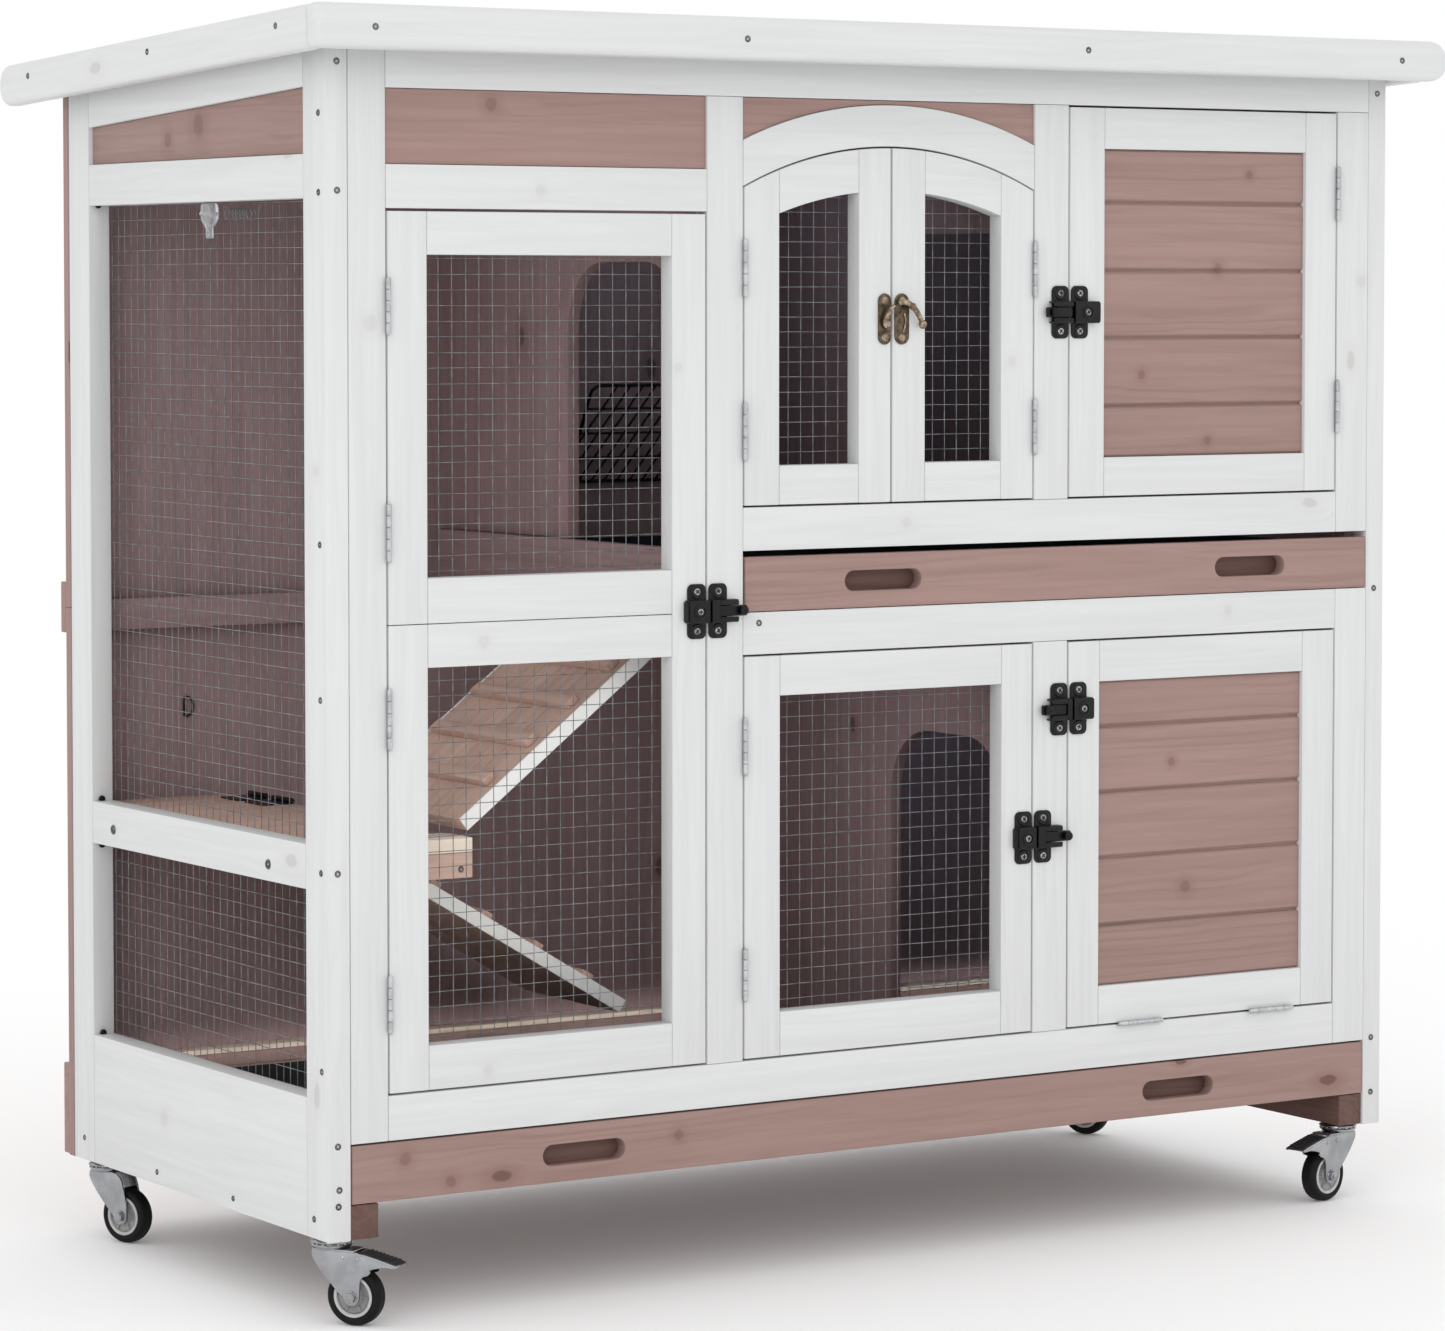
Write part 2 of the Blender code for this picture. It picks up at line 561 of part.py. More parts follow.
# --------------------------------------------------------------------- casters
def caster(key, x, y, heading, brake):
    swivel = empty(key + "_swivel_axis", at(x, y, 0.0), (0.0, 0.0, math.radians(heading)))
    world = swivel.matrix_world.copy()

    def place(obj):
        bpy.context.view_layer.update()
        obj.matrix_world = world @ obj.matrix_world
        return obj

    side = [(-13.0, -6.0), (-13.0, -13.0), (AXLE[0] - 6.5, AXLE[1] - 2.0), (AXLE[0] - 4.0, AXLE[1] - 5.5),
            (AXLE[0], AXLE[1] - 6.8), (AXLE[0] + 4.0, AXLE[1] - 5.5), (AXLE[0] + 6.5, AXLE[1] - 2.0),
            (25.0, -22.0), (25.0, -10.0), (15.0, -6.0)]
    shell = outline(key + "_cheeks", [side], 11.0, (0.0, 0.0, 0.0), (math.radians(90), 0.0, 0.0))
    shell = place(to_mesh(shell))
    slot = place(solid(mm3(-40.0, -8.2, -80.0), mm3(60.0, 8.2, -12.5)))
    combine(shell, slot, "DIFFERENCE")
    bpy.ops.mesh.primitive_cylinder_add(vertices=24, radius=0.0175, depth=0.0070,
                                        location=(0.0, 0.0, -0.0038))
    combine(shell, place(bpy.context.active_object), "UNION")
    bpy.ops.mesh.primitive_cylinder_add(vertices=12, radius=0.0025, depth=0.0240,
                                        location=(AXLE[0] / 1000.0, 0.0, AXLE[1] / 1000.0),
                                        rotation=(math.radians(90), 0.0, 0.0))
    combine(shell, place(bpy.context.active_object), "UNION")
    finish(shell, key + "_fork", "bright_steel", swivel)

    hub = empty(key + "_wheel_axis", world @ mm3(AXLE[0], 0.0, AXLE[1]), (0.0, 0.0, math.radians(heading)))
    hub.parent = swivel
    hub.matrix_parent_inverse = swivel.matrix_world.inverted()
    h = WHEEL_W / 2
    section = [(BORE_R, h), (WHEEL_R - 2.6, h), (WHEEL_R - 0.7, h - 1.4), (WHEEL_R, h - 3.6),
               (WHEEL_R, 3.6 - h), (WHEEL_R - 0.7, 1.4 - h), (WHEEL_R - 2.6, -h), (BORE_R, -h)]
    mesh = bpy.data.meshes.new(key + "_wheel")
    bm = bmesh.new()
    ring = [bm.verts.new((r / 1000.0, 0.0, z / 1000.0)) for r, z in section]
    for i in range(len(ring)):
        bm.edges.new((ring[i], ring[(i + 1) % len(ring)]))
    bm.to_mesh(mesh)
    bm.free()
    wheel = bpy.data.objects.new(key + "_wheel", mesh)
    parts.objects.link(wheel)
    turn = wheel.modifiers.new("turned", "SCREW")
    turn.axis = "Z"
    turn.steps = 32
    turn.render_steps = 32
    turn.use_merge_vertices = True
    turn.merge_threshold = 0.00001
    wheel.matrix_world = hub.matrix_world @ Matrix.Rotation(math.radians(90), 4, "X")
    finish(wheel, key + "_wheel", "tyre_rubber", hub)

    if brake:
        pin = empty(key + "_pedal_axis", world @ mm3(27.0, 0.0, -15.0), (0.0, 0.0, math.radians(heading)))
        pin.parent = swivel
        pin.matrix_parent_inverse = swivel.matrix_world.inverted()
        plate = [(26.6, -9.5), (62.0, -17.5), (62.6, -20.0), (48.0, -21.0), (36.0, -23.0), (26.6, -20.5)]
        pedal = place(to_mesh(outline(key + "_plate", [plate], 10.5, (0.0, 0.0, 0.0), (math.radians(90), 0.0, 0.0))))
        finish(pedal, key + "_brake_pedal", "bright_steel", pin)


for caster_key, spec in CASTERS.items():
    caster(caster_key, *spec)

bpy.context.view_layer.update()
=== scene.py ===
"""Looks of the two-storey rabbit hutch: boards, wire, hardware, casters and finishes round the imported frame.

Design coordinates are millimetres, as in the part: x from the left outer face, y from the front face,
z from the underside of the side panels.
"""
import math
import random

import bmesh
import bpy
from mathutils import Matrix, Vector
from mathutils.geometry import tessellate_polygon


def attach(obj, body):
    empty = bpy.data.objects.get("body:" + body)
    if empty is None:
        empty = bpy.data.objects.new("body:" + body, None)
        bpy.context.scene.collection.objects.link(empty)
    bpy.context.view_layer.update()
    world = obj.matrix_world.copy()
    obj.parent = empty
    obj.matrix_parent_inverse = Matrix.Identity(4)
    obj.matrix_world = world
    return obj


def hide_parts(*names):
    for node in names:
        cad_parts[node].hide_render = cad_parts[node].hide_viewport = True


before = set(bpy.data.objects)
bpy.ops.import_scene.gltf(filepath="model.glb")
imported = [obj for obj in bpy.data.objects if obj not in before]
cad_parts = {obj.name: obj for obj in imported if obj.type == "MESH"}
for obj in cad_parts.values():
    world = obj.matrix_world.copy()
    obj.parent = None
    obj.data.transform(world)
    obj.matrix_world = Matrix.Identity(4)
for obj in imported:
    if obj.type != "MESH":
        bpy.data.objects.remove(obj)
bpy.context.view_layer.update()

rng = random.Random(20)

# ------------------------------------------------------------------ coordinates
CX, CY, LIFT = 545.0, 253.737, 70.0
TO_WORLD = Matrix.Diagonal((0.001, 0.001, 0.001, 1.0)) @ Matrix.Translation((-CX, -CY, LIFT))
W, D, T, TF, POST = 1089.4, 480.0, 20.0, 18.0, 38.6
TOP = 971.0
ROOF_FALL, ROOF_Z0 = 0.0463, 972.8
X_STILE, X_MID, X_DIV, X_END = (20.3, 54.4), (358.5, 394.1), (695.2, 731.8), (1033.5, 1069.4)
Z_RAIL_BOT, Z_RAIL_LOW, Z_RAIL_UP = (78.0, 114.7), (458.0, 493.8), (545.5, 582.2)
Z_HEAD, Z_TOP = (829.8, 865.3), 926.0
ARCH_SPRING, ARCH_PEAK, BAND_SPRING, BAND_PEAK = 851.3, 886.9, 890.0, 922.0
UP_TRAY_Z, LO_TRAY_Z = (494.3, 540.3), (29.3, 76.5)
ROOF_TILT = math.atan(ROOF_FALL)
LID = Matrix.Translation((CX, 494.5, 949.6)) @ Matrix.Rotation(-ROOF_TILT, 4, "X")
SEAM = 0.12               # half the gap left between glued members


def roof_under(y, clear=0.5):
    return ROOF_Z0 - ROOF_FALL * y - clear


def arc_z(x, x0, x1, spring, peak):
    half, rise = (x1 - x0) / 2, peak - spring
    radius = (half * half + rise * rise) / (2 * rise)
    dx = x - (x0 + x1) / 2
    return peak - radius + math.sqrt(max(radius * radius - dx * dx, 0.0))


def arch(x, drop=0.0, outer=False):
    if outer:
        return arc_z(x, X_MID[1], X_DIV[0], BAND_SPRING, BAND_PEAK) - drop
    return arc_z(x, X_MID[1], X_DIV[0], ARCH_SPRING, ARCH_PEAK) - drop


def arch_line(xa, xb, n, drop=0.0, outer=False):
    return [(x, arch(x, drop, outer)) for x in (xa + (xb - xa) * i / n for i in range(n + 1))]


# ------------------------------------------------------------------ node helpers
def node(nt, kind, inputs=None, **props):
    made = nt.nodes.new(kind)
    for key, value in props.items():
        setattr(made, key, value)
    for key, value in (inputs or {}).items():
        sock = made.inputs[key]
        if isinstance(value, bpy.types.NodeSocket):
            nt.links.new(value, sock)
        else:
            sock.default_value = value
    return made


def calc(nt, op, a, b=0.0, c=None, clamp=False):
    made = nt.nodes.new("ShaderNodeMath")
    made.operation = op
    made.use_clamp = clamp
    for i, v in enumerate((a, b) if c is None else (a, b, c)):
        if isinstance(v, bpy.types.NodeSocket):
            nt.links.new(v, made.inputs[i])
        else:
            made.inputs[i].default_value = v
    return made.outputs[0]


def ramp(nt, value, lo, hi, out_lo=0.0, out_hi=1.0, smooth=True):
    made = nt.nodes.new("ShaderNodeMapRange")
    made.interpolation_type = "SMOOTHSTEP" if smooth else "LINEAR"
    nt.links.new(value, made.inputs["Value"])
    for key, v in (("From Min", lo), ("From Max", hi), ("To Min", out_lo), ("To Max", out_hi)):
        made.inputs[key].default_value = v
    return made.outputs["Result"]


def mix(nt, fac, a, b, blend="MIX"):
    made = nt.nodes.new("ShaderNodeMix")
    made.data_type = "RGBA"
    made.blend_type = blend
    for key, v in ((0, fac), (6, a), (7, b)):
        if isinstance(v, bpy.types.NodeSocket):
            nt.links.new(v, made.inputs[key])
        elif key == 0:
            made.inputs[key].default_value = v
        else:
            made.inputs[key].default_value = (*v, 1.0) if len(v) == 3 else v
    return made.outputs[2]


def combine(nt, x, y, z):
    made = nt.nodes.new("ShaderNodeCombineXYZ")
    for i, v in enumerate((x, y, z)):
        if isinstance(v, bpy.types.NodeSocket):
            nt.links.new(v, made.inputs[i])
        else:
            made.inputs[i].default_value = v
    return made.outputs[0]


def noise(nt, vector, scale=1.0, detail=2.0, rough=0.5, distort=0.0):
    made = node(nt, "ShaderNodeTexNoise", {"Scale": scale, "Detail": detail, "Roughness": rough, "Distortion": distort})
    nt.links.new(vector, made.inputs["Vector"])
    return made.outputs["Fac"]


def new_material(name):
    mat = bpy.data.materials.new(name)
    mat.use_nodes = True
    nt = mat.node_tree
    shader = nt.nodes["Principled BSDF"]
    return mat, nt, shader


def bump(nt, shader, height, strength, distance):
    made = node(nt, "ShaderNodeBump", {"Strength": strength, "Distance": distance, "Height": height})
    nt.links.new(made.outputs["Normal"], shader.inputs["Normal"])


def knot_spots(nt, spots, edge):
    """Knots at stated places: (x, y, z, radius) in the design's millimetres."""
    here = node(nt, "ShaderNodeTexCoord").outputs["Object"]
    nearest = None
    for x, y, z, radius in spots:
        at = TO_WORLD @ Vector((x, y, z))
        gap = node(nt, "ShaderNodeVectorMath", {0: here, 1: tuple(at)}, operation="DISTANCE").outputs["Value"]
        gap = calc(nt, "DIVIDE", gap, radius / 1000.0)
        nearest = gap if nearest is None else calc(nt, "MINIMUM", nearest, gap)
    nearest = calc(nt, "ADD", nearest, calc(nt, "MULTIPLY", calc(nt, "SUBTRACT", edge, 0.5), 0.5))
    return ramp(nt, nearest, 1.0, 0.55), ramp(nt, nearest, 2.4, 0.9)


def wood(name, light, dark, line, knot, halo, ring=0.5, knots=0.3, knot_mix=1.0, rough=(0.5, 0.66),
         tone_span=0.06, relief=0.35, spots=()):
    """Sawn softwood with growth rings, fibres and knots; read from each board's own grain coordinates."""
    mat, nt, shader = new_material(name)
    grain = node(nt, "ShaderNodeAttribute", attribute_name="grain").outputs["Vector"]
    tone = node(nt, "ShaderNodeAttribute", attribute_name="tone").outputs["Fac"]
    sep = node(nt, "ShaderNodeSeparateXYZ", {"Vector": grain})
    u, v, w = sep.outputs[0], sep.outputs[1], sep.outputs[2]
    kx, ky = 170.0, 84.0
    kv = combine(nt, calc(nt, "MULTIPLY", u, 1 / kx), calc(nt, "MULTIPLY", v, 1 / ky), 0.0)
    cell = node(nt, "ShaderNodeTexVoronoi", {"Vector": kv, "Scale": 1.0, "Randomness": 0.9},
                voronoi_dimensions="2D", feature="F1")
    pick = node(nt, "ShaderNodeSeparateColor", {"Color": cell.outputs["Color"]})
    chosen = calc(nt, "GREATER_THAN", pick.outputs[0], 1.0 - knots)
    size = ramp(nt, pick.outputs[1], 0.0, 1.0, 0.65, 1.35, smooth=False)
    r = calc(nt, "DIVIDE", cell.outputs["Distance"], size)
    pos = node(nt, "ShaderNodeSeparateXYZ", {"Vector": cell.outputs["Position"]})
    dv = calc(nt, "SUBTRACT", calc(nt, "MULTIPLY", v, 1 / ky), pos.outputs[1])
    pull = calc(nt, "MULTIPLY", ramp(nt, r, 0.0, 0.34, 0.62, 0.0), chosen)
    v2 = calc(nt, "SUBTRACT", v, calc(nt, "MULTIPLY", calc(nt, "MULTIPLY", dv, pull), ky))
    slow = noise(nt, combine(nt, calc(nt, "MULTIPLY", u, 0.0030), calc(nt, "MULTIPLY", v2, 0.030),
                             calc(nt, "MULTIPLY", w, 0.030)), 1.0, 2.0, 0.5, 0.3)
    bands = noise(nt, combine(nt, calc(nt, "MULTIPLY", u, 0.0052), calc(nt, "MULTIPLY", v2, 0.115),
                              calc(nt, "MULTIPLY", w, 0.115)), 1.0, 3.0, 0.6, 0.5)
    fibre = noise(nt, combine(nt, calc(nt, "MULTIPLY", u, 0.030), calc(nt, "MULTIPLY", v2, 1.15),
                              calc(nt, "MULTIPLY", w, 1.15)), 1.0, 2.0, 0.6, 0.2)
    phase = calc(nt, "ADD", calc(nt, "MULTIPLY", v2, 0.72), calc(nt, "MULTIPLY", slow, 34.0))
    phase = calc(nt, "ADD", phase, calc(nt, "MULTIPLY", w, 0.35))
    rings = calc(nt, "ADD", calc(nt, "MULTIPLY", calc(nt, "SINE", phase), 0.5), 0.5)
    rings = calc(nt, "POWER", rings, 3.0)
    rings = calc(nt, "MULTIPLY", rings, ramp(nt, slow, 0.36, 0.62, 0.15, 1.0))
    colour = mix(nt, ramp(nt, bands, 0.30, 0.70), light, dark)
    colour = mix(nt, calc(nt, "MULTIPLY", rings, ring), colour, line)
    colour = mix(nt, ramp(nt, fibre, 0.50, 0.82, 0.0, 0.5 * ring), colour, line)
    edge = noise(nt, combine(nt, calc(nt, "MULTIPLY", u, 0.12), calc(nt, "MULTIPLY", v, 0.12), 0.0), 1.0, 2.0)
    rr = calc(nt, "ADD", r, calc(nt, "MULTIPLY", calc(nt, "SUBTRACT", edge, 0.5), 0.03))
    soft = calc(nt, "MULTIPLY", ramp(nt, rr, 0.16, 0.045), chosen)
    core = calc(nt, "MULTIPLY", ramp(nt, rr, 0.058, 0.036), chosen)
    colour = mix(nt, calc(nt, "MULTIPLY", soft, 0.55 * knot_mix), colour, halo)
    colour = mix(nt, calc(nt, "MULTIPLY", core, 0.85 * knot_mix), colour, knot)
    if spots:
        spot_core, spot_soft = knot_spots(nt, spots, edge)
        colour = mix(nt, calc(nt, "MULTIPLY", spot_soft, 0.34 * knot_mix), colour, halo)
        colour = mix(nt, calc(nt, "MULTIPLY", spot_core, 0.42 * knot_mix), colour, knot)
    shade = ramp(nt, tone, 0.0, 1.0, 1.0 - tone_span, 1.0 + tone_span, smooth=False)
    shade = calc(nt, "MULTIPLY", shade, ramp(nt, slow, 0.25, 0.75, 1.0 + tone_span * 0.6, 1.0 - tone_span * 0.6))
    colour = mix(nt, 1.0, colour, combine(nt, shade, shade, shade), "MULTIPLY")
    nt.links.new(colour, shader.inputs["Base Color"])
    nt.links.new(ramp(nt, bands, 0.2, 0.8, *rough), shader.inputs["Roughness"])
    height = calc(nt, "SUBTRACT", calc(nt, "MULTIPLY", fibre, 0.7), calc(nt, "MULTIPLY", rings, 0.55))
    height = calc(nt, "SUBTRACT", height, calc(nt, "MULTIPLY", core, 0.8))
    bump(nt, shader, height, relief, 0.0004)
    shader.inputs["Specular IOR Level"].default_value = 0.35
    return mat


def lin(*rgb):
    return tuple((c / 255 / 12.92) if c / 255 <= 0.04045 else ((c / 255 + 0.055) / 1.055) ** 2.4 for c in rgb)


WHITE = wood("white_painted_wood", lin(219, 220, 220), lin(214, 215, 215), lin(205, 205, 204), lin(186, 184, 181),
             lin(206, 205, 203), ring=0.20, knots=0.08, knot_mix=0.6, rough=(0.44, 0.56), tone_span=0.014, relief=0.22,
             spots=((40, 0, 738, 8), (198, 0, 846, 6), (144, 0, 479, 7), (671, 0, 703, 6), (147, 0, 128, 6), (1062, 0, 773, 7),
                    (330, 0, 700, 5), (560, 0, 566, 6), (910, 0, 478, 6), (0, 300, 60, 9), (0, 18, 620, 6)))
BROWN = wood("brown_stained_wood", lin(160, 132, 125), lin(153, 125, 118), lin(134, 106, 98), lin(106, 76, 68),
             lin(136, 103, 94), ring=0.34, knots=0.16, rough=(0.52, 0.66), tone_span=0.035, relief=0.34,
             spots=((900, 4, 784, 6), (889, 4, 631, 5), (866, 4, 232, 7), (153, 3, 915, 7), (935, 4, 868, 5), (4, 233, 902, 12),
                    (4, 291, 891, 8), (70, 0, 62, 7), (112, 0, 40, 6), (330, 0, 58, 6), (815, 4, 690, 5), (850, 4, 345, 5)))
# A darker brown for the skids. On the trays it is painted shade: the board seen through the finger slots and the floor
# under the liner.
DARKER = wood("brown_end_wood", lin(112, 84, 77), lin(103, 76, 69), lin(82, 57, 50), lin(66, 44, 38),
              lin(98, 72, 64), ring=0.5, knots=0.10, rough=(0.55, 0.7), tone_span=0.04, relief=0.34)
INNER = wood("brown_inner_wood", lin(152, 128, 128), lin(143, 119, 119), lin(122, 98, 98), lin(92, 70, 68),
             lin(126, 98, 96), ring=0.28, knots=0.14, rough=(0.55, 0.7), tone_span=0.04, relief=0.3)
RAW = wood("raw_wood", lin(208, 178, 164), lin(196, 164, 150), lin(170, 136, 122), lin(122, 86, 70),
           lin(174, 134, 116), ring=0.34, knots=0.20, rough=(0.55, 0.7), tone_span=0.05, relief=0.36)
# Pale cream raw wood for top edges and the landing's front plank. Partly its own colour, partly painted light:
# brightened well above the raw wood where little lamp light reaches.
CREAM_PAINTED_LIGHT = wood("cream_raw_wood", lin(240, 226, 210), lin(230, 214, 196), lin(206, 188, 166), lin(150, 116, 84),
             lin(204, 180, 152), ring=0.24, knots=0.08, rough=(0.55, 0.7), tone_span=0.03, relief=0.3)
# White edge strips, brighter than the white paint: painted light for edges deep inside the rooms that little lamp light
# reaches.
STRIP_PAINTED_LIGHT = wood("white_edge_strip", lin(246, 246, 244), lin(240, 240, 238), lin(226, 226, 222), lin(190, 182, 172),
             lin(222, 218, 210), ring=0.18, knots=0.06, knot_mix=0.5, rough=(0.46, 0.6), tone_span=0.01, relief=0.2)


def metal(name, light, dark, metallic, rough, scale=0.5, relief=0.15, coat=0.0):
    """A plated or painted metal with cloudy colour, uneven polish and a fine surface texture."""
    mat, nt, shader = new_material(name)
    co = node(nt, "ShaderNodeTexCoord").outputs["Object"]
    mm = node(nt, "ShaderNodeVectorMath", {0: co, 1: (1000.0, 1000.0, 1000.0)}, operation="MULTIPLY").outputs[0]
    cloud = noise(nt, mm, 0.11 * scale, 3.0, 0.6)
    fine = noise(nt, mm, 2.2 * scale, 3.0, 0.6)
    nt.links.new(mix(nt, ramp(nt, cloud, 0.32, 0.68), light, dark), shader.inputs["Base Color"])
    both = calc(nt, "ADD", calc(nt, "MULTIPLY", cloud, 0.6), calc(nt, "MULTIPLY", fine, 0.4))
    nt.links.new(ramp(nt, both, 0.3, 0.7, rough[0], rough[1]), shader.inputs["Roughness"])
    shader.inputs["Metallic"].default_value = metallic
    shader.inputs["Coat Weight"].default_value = coat
    shader.inputs["Coat Roughness"].default_value = 0.25
    bump(nt, shader, fine, relief, 0.0002)
    return mat


ZINC = metal("galvanised_wire", lin(142, 143, 146), lin(104, 105, 108), 0.75, (0.34, 0.52), 1.0, 0.25)
DARKWIRE = metal("dark_wire", lin(52, 50, 52), lin(34, 33, 35), 0.5, (0.35, 0.5), 1.0, 0.2)
BLACK = metal("black_powder_coat", lin(16, 16, 17), lin(9, 9, 10), 0.0, (0.24, 0.40), 1.6, 0.5, 0.12)
STEEL = metal("bright_zinc_steel", lin(206, 207, 210), lin(176, 178, 181), 0.92, (0.16, 0.34), 0.9, 0.12)
CHROME = metal("caster_zinc_plate", lin(172, 173, 176), lin(154, 155, 158), 0.96, (0.10, 0.24), 0.45, 0.08)
SCREW = metal("screw_steel", lin(120, 118, 116), lin(74, 72, 70), 0.85, (0.28, 0.45), 1.2, 0.2)
GLINT = metal("latch_screw_steel", lin(176, 174, 172), lin(104, 102, 100), 0.9, (0.16, 0.30), 1.6, 0.25)
BRASS = metal("antique_brass", lin(186, 168, 146), lin(112, 96, 80), 0.9, (0.20, 0.38), 1.6, 0.3)
BRASS_DARK = metal("antique_brass_dark", lin(112, 98, 80), lin(64, 56, 47), 0.85, (0.28, 0.5), 1.6, 0.35)


def plastic(name, light, dark, rough, relief=0.2, scale=1.0):
    mat, nt, shader = new_material(name)
    co = node(nt, "ShaderNodeTexCoord").outputs["Object"]
    mm = node(nt, "ShaderNodeVectorMath", {0: co, 1: (1000.0, 1000.0, 1000.0)}, operation="MULTIPLY").outputs[0]
    cloud = noise(nt, mm, 0.05 * scale, 4.0, 0.6)
    fine = noise(nt, mm, 1.4 * scale, 2.0, 0.5)
    nt.links.new(mix(nt, ramp(nt, cloud, 0.3, 0.7), light, dark), shader.inputs["Base Color"])
    nt.links.new(ramp(nt, fine, 0.3, 0.7, *rough), shader.inputs["Roughness"])
    bump(nt, shader, fine, relief, 0.0003)
    return mat


RUBBER = plastic("black_tyre", lin(19, 19, 20), lin(11, 11, 12), (0.50, 0.70), 0.25)
HUB = plastic("pale_hub", lin(196, 196, 195), lin(176, 176, 175), (0.30, 0.44), 0.15)
DISH = plastic("hub_dish", lin(152, 152, 152), lin(128, 128, 129), (0.28, 0.42), 0.15)
LINER = plastic("black_tray_liner", lin(42, 42, 45), lin(30, 30, 33), (0.38, 0.58), 0.25)
PEDAL = plastic("dark_pedal_grip", lin(58, 58, 60), lin(40, 40, 42), (0.40, 0.55), 0.25)


for dark in (BLACK, RUBBER, PEDAL, LINER, DARKWIRE):
    dark.node_tree.nodes["Principled BSDF"].inputs["Specular IOR Level"].default_value = 0.2


def felt():
    mat, nt, shader = new_material("roof_felt")
    co = node(nt, "ShaderNodeTexCoord").outputs["Object"]
    mm = node(nt, "ShaderNodeVectorMath", {0: co, 1: (1000.0, 1000.0, 1000.0)}, operation="MULTIPLY").outputs[0]
    grit = node(nt, "ShaderNodeTexVoronoi", {"Vector": mm, "Scale": 0.75, "Randomness": 1.0})
    cloud = noise(nt, mm, 0.012, 4.0, 0.6)
    pick = node(nt, "ShaderNodeSeparateColor", {"Color": grit.outputs["Color"]})
    colour = mix(nt, ramp(nt, pick.outputs[0], 0.0, 1.0), lin(58, 60, 60), lin(112, 114, 112))
    colour = mix(nt, ramp(nt, cloud, 0.3, 0.7, 0.0, 0.45), colour, lin(74, 76, 74))
    nt.links.new(colour, shader.inputs["Base Color"])
    nt.links.new(ramp(nt, cloud, 0.3, 0.7, 0.82, 0.95), shader.inputs["Roughness"])
    bump(nt, shader, calc(nt, "SUBTRACT", 1.0, grit.outputs["Distance"]), 0.6, 0.0008)
    return mat


FELT = felt()


def clear():
    mat, nt, shader = new_material("clear_plastic")
    co = node(nt, "ShaderNodeTexCoord").outputs["Object"]
    fine = noise(nt, co, 300.0, 2.0)
    nt.links.new(mix(nt, fine, lin(244, 246, 248), lin(232, 236, 240)), shader.inputs["Base Color"])
    nt.links.new(ramp(nt, fine, 0.3, 0.7, 0.05, 0.14), shader.inputs["Roughness"])
    shader.inputs["Transmission Weight"].default_value = 0.75
    shader.inputs["IOR"].default_value = 1.45
    return mat


CLEAR = clear()


# ------------------------------------------------------------------ mesh helpers
def bevelled(bm, width, segments=2, angle=28.0):
    bmesh.ops.recalc_face_normals(bm, faces=bm.faces)
    if width > 0:
        limit = math.radians(angle)
        edges = [e for e in bm.edges if len(e.link_faces) == 2 and e.calc_face_angle(0.0) > limit]
        bmesh.ops.bevel(bm, geom=edges, offset=width, offset_type="OFFSET", segments=segments,
                        profile=0.55, affect="EDGES", clamp_overlap=True)
    return bm


def block(lo, hi, width=0.8, segments=2):
    """A squared board with eased edges."""
    bm = bmesh.new()
    bmesh.ops.create_cube(bm, size=1.0)
    lo, hi = Vector(lo), Vector(hi)
    size = hi - lo
    bmesh.ops.transform(bm, matrix=Matrix.Translation((lo + hi) / 2) @ Matrix.Diagonal((*size, 1.0)), verts=bm.verts)
    return bevelled(bm, width, segments)


def prism(loop, lo, hi, plane="xz", width=0.8, segments=2):
    """A board cut to an outline, lying in a plane between lo and hi."""
    def put(a, b, c):
        return {"xz": (a, c, b), "yz": (c, a, b), "xy": (a, b, c)}[plane]
    bm = bmesh.new()
    rows = [[bm.verts.new(put(a, b, c)) for a, b in loop] for c in (lo, hi)]
    n = len(loop)
    bm.faces.new(rows[0])
    bm.faces.new(rows[1][::-1])
    for i in range(n):
        j = (i + 1) % n
        bm.faces.new((rows[0][i], rows[1][i], rows[1][j], rows[0][j]))
    return bevelled(bm, width, segments)


def cutout(loops, half, width, res=1):
    """A flat plate with holes and rounded edges, in its own x-y plane."""
    curve = bpy.data.curves.new("cutout", "CURVE")
    curve.dimensions = "2D"
    curve.fill_mode = "BOTH"
    curve.extrude = half - width
    curve.bevel_depth = width
    curve.bevel_resolution = res
    curve.offset = -width
    for loop in loops:
        spline = curve.splines.new("POLY")
        spline.points.add(len(loop) - 1)
        for p, (a, b) in zip(spline.points, loop):
            p.co = (a, b, 0.0, 1.0)
        spline.use_cyclic_u = True
    obj = bpy.data.objects.new("cutout", curve)
    bpy.context.scene.collection.objects.link(obj)
    deps = bpy.context.evaluated_depsgraph_get()
    mesh = bpy.data.meshes.new_from_object(obj.evaluated_get(deps))
    bm = bmesh.new()
    bm.from_mesh(mesh)
    bmesh.ops.remove_doubles(bm, verts=bm.verts, dist=0.002)
    bmesh.ops.recalc_face_normals(bm, faces=bm.faces)
    bpy.data.objects.remove(obj, do_unlink=True)
    bpy.data.curves.remove(curve)
    bpy.data.meshes.remove(mesh)
    return bm


def lathe(profile, n=28, axis="Z", closed=False):
    """A turned shape; profile is (radius, height) from one end to the other."""
    bm = bmesh.new()
    rings = []
    for r, z in profile:
        if r < 1e-6:
            rings.append([bm.verts.new((0.0, 0.0, z))])
        else:
            rings.append([bm.verts.new((r * math.cos(2 * math.pi * i / n), r * math.sin(2 * math.pi * i / n), z))
                          for i in range(n)])
    pairs = list(zip(rings, rings[1:])) + ([(rings[-1], rings[0])] if closed else [])
    for a, b in pairs:
        for i in range(n):
            j = (i + 1) % n
            if len(a) == 1 and len(b) == 1:
                continue
            if len(a) == 1:
                bm.faces.new((a[0], b[i], b[j]))
            elif len(b) == 1:
                bm.faces.new((a[i], a[j], b[0]))
            else:
                bm.faces.new((a[i], a[j], b[j], b[i]))
    if not closed:
        for end in (rings[0], rings[-1]):
            if len(end) > 1:
                bm.faces.new(end)
    bmesh.ops.recalc_face_normals(bm, faces=bm.faces)
    if axis != "Z":
        turn = Matrix.Rotation(math.radians(90), 4, "X" if axis == "Y" else "Y")
        bmesh.ops.transform(bm, matrix=turn, verts=bm.verts)
    return bm


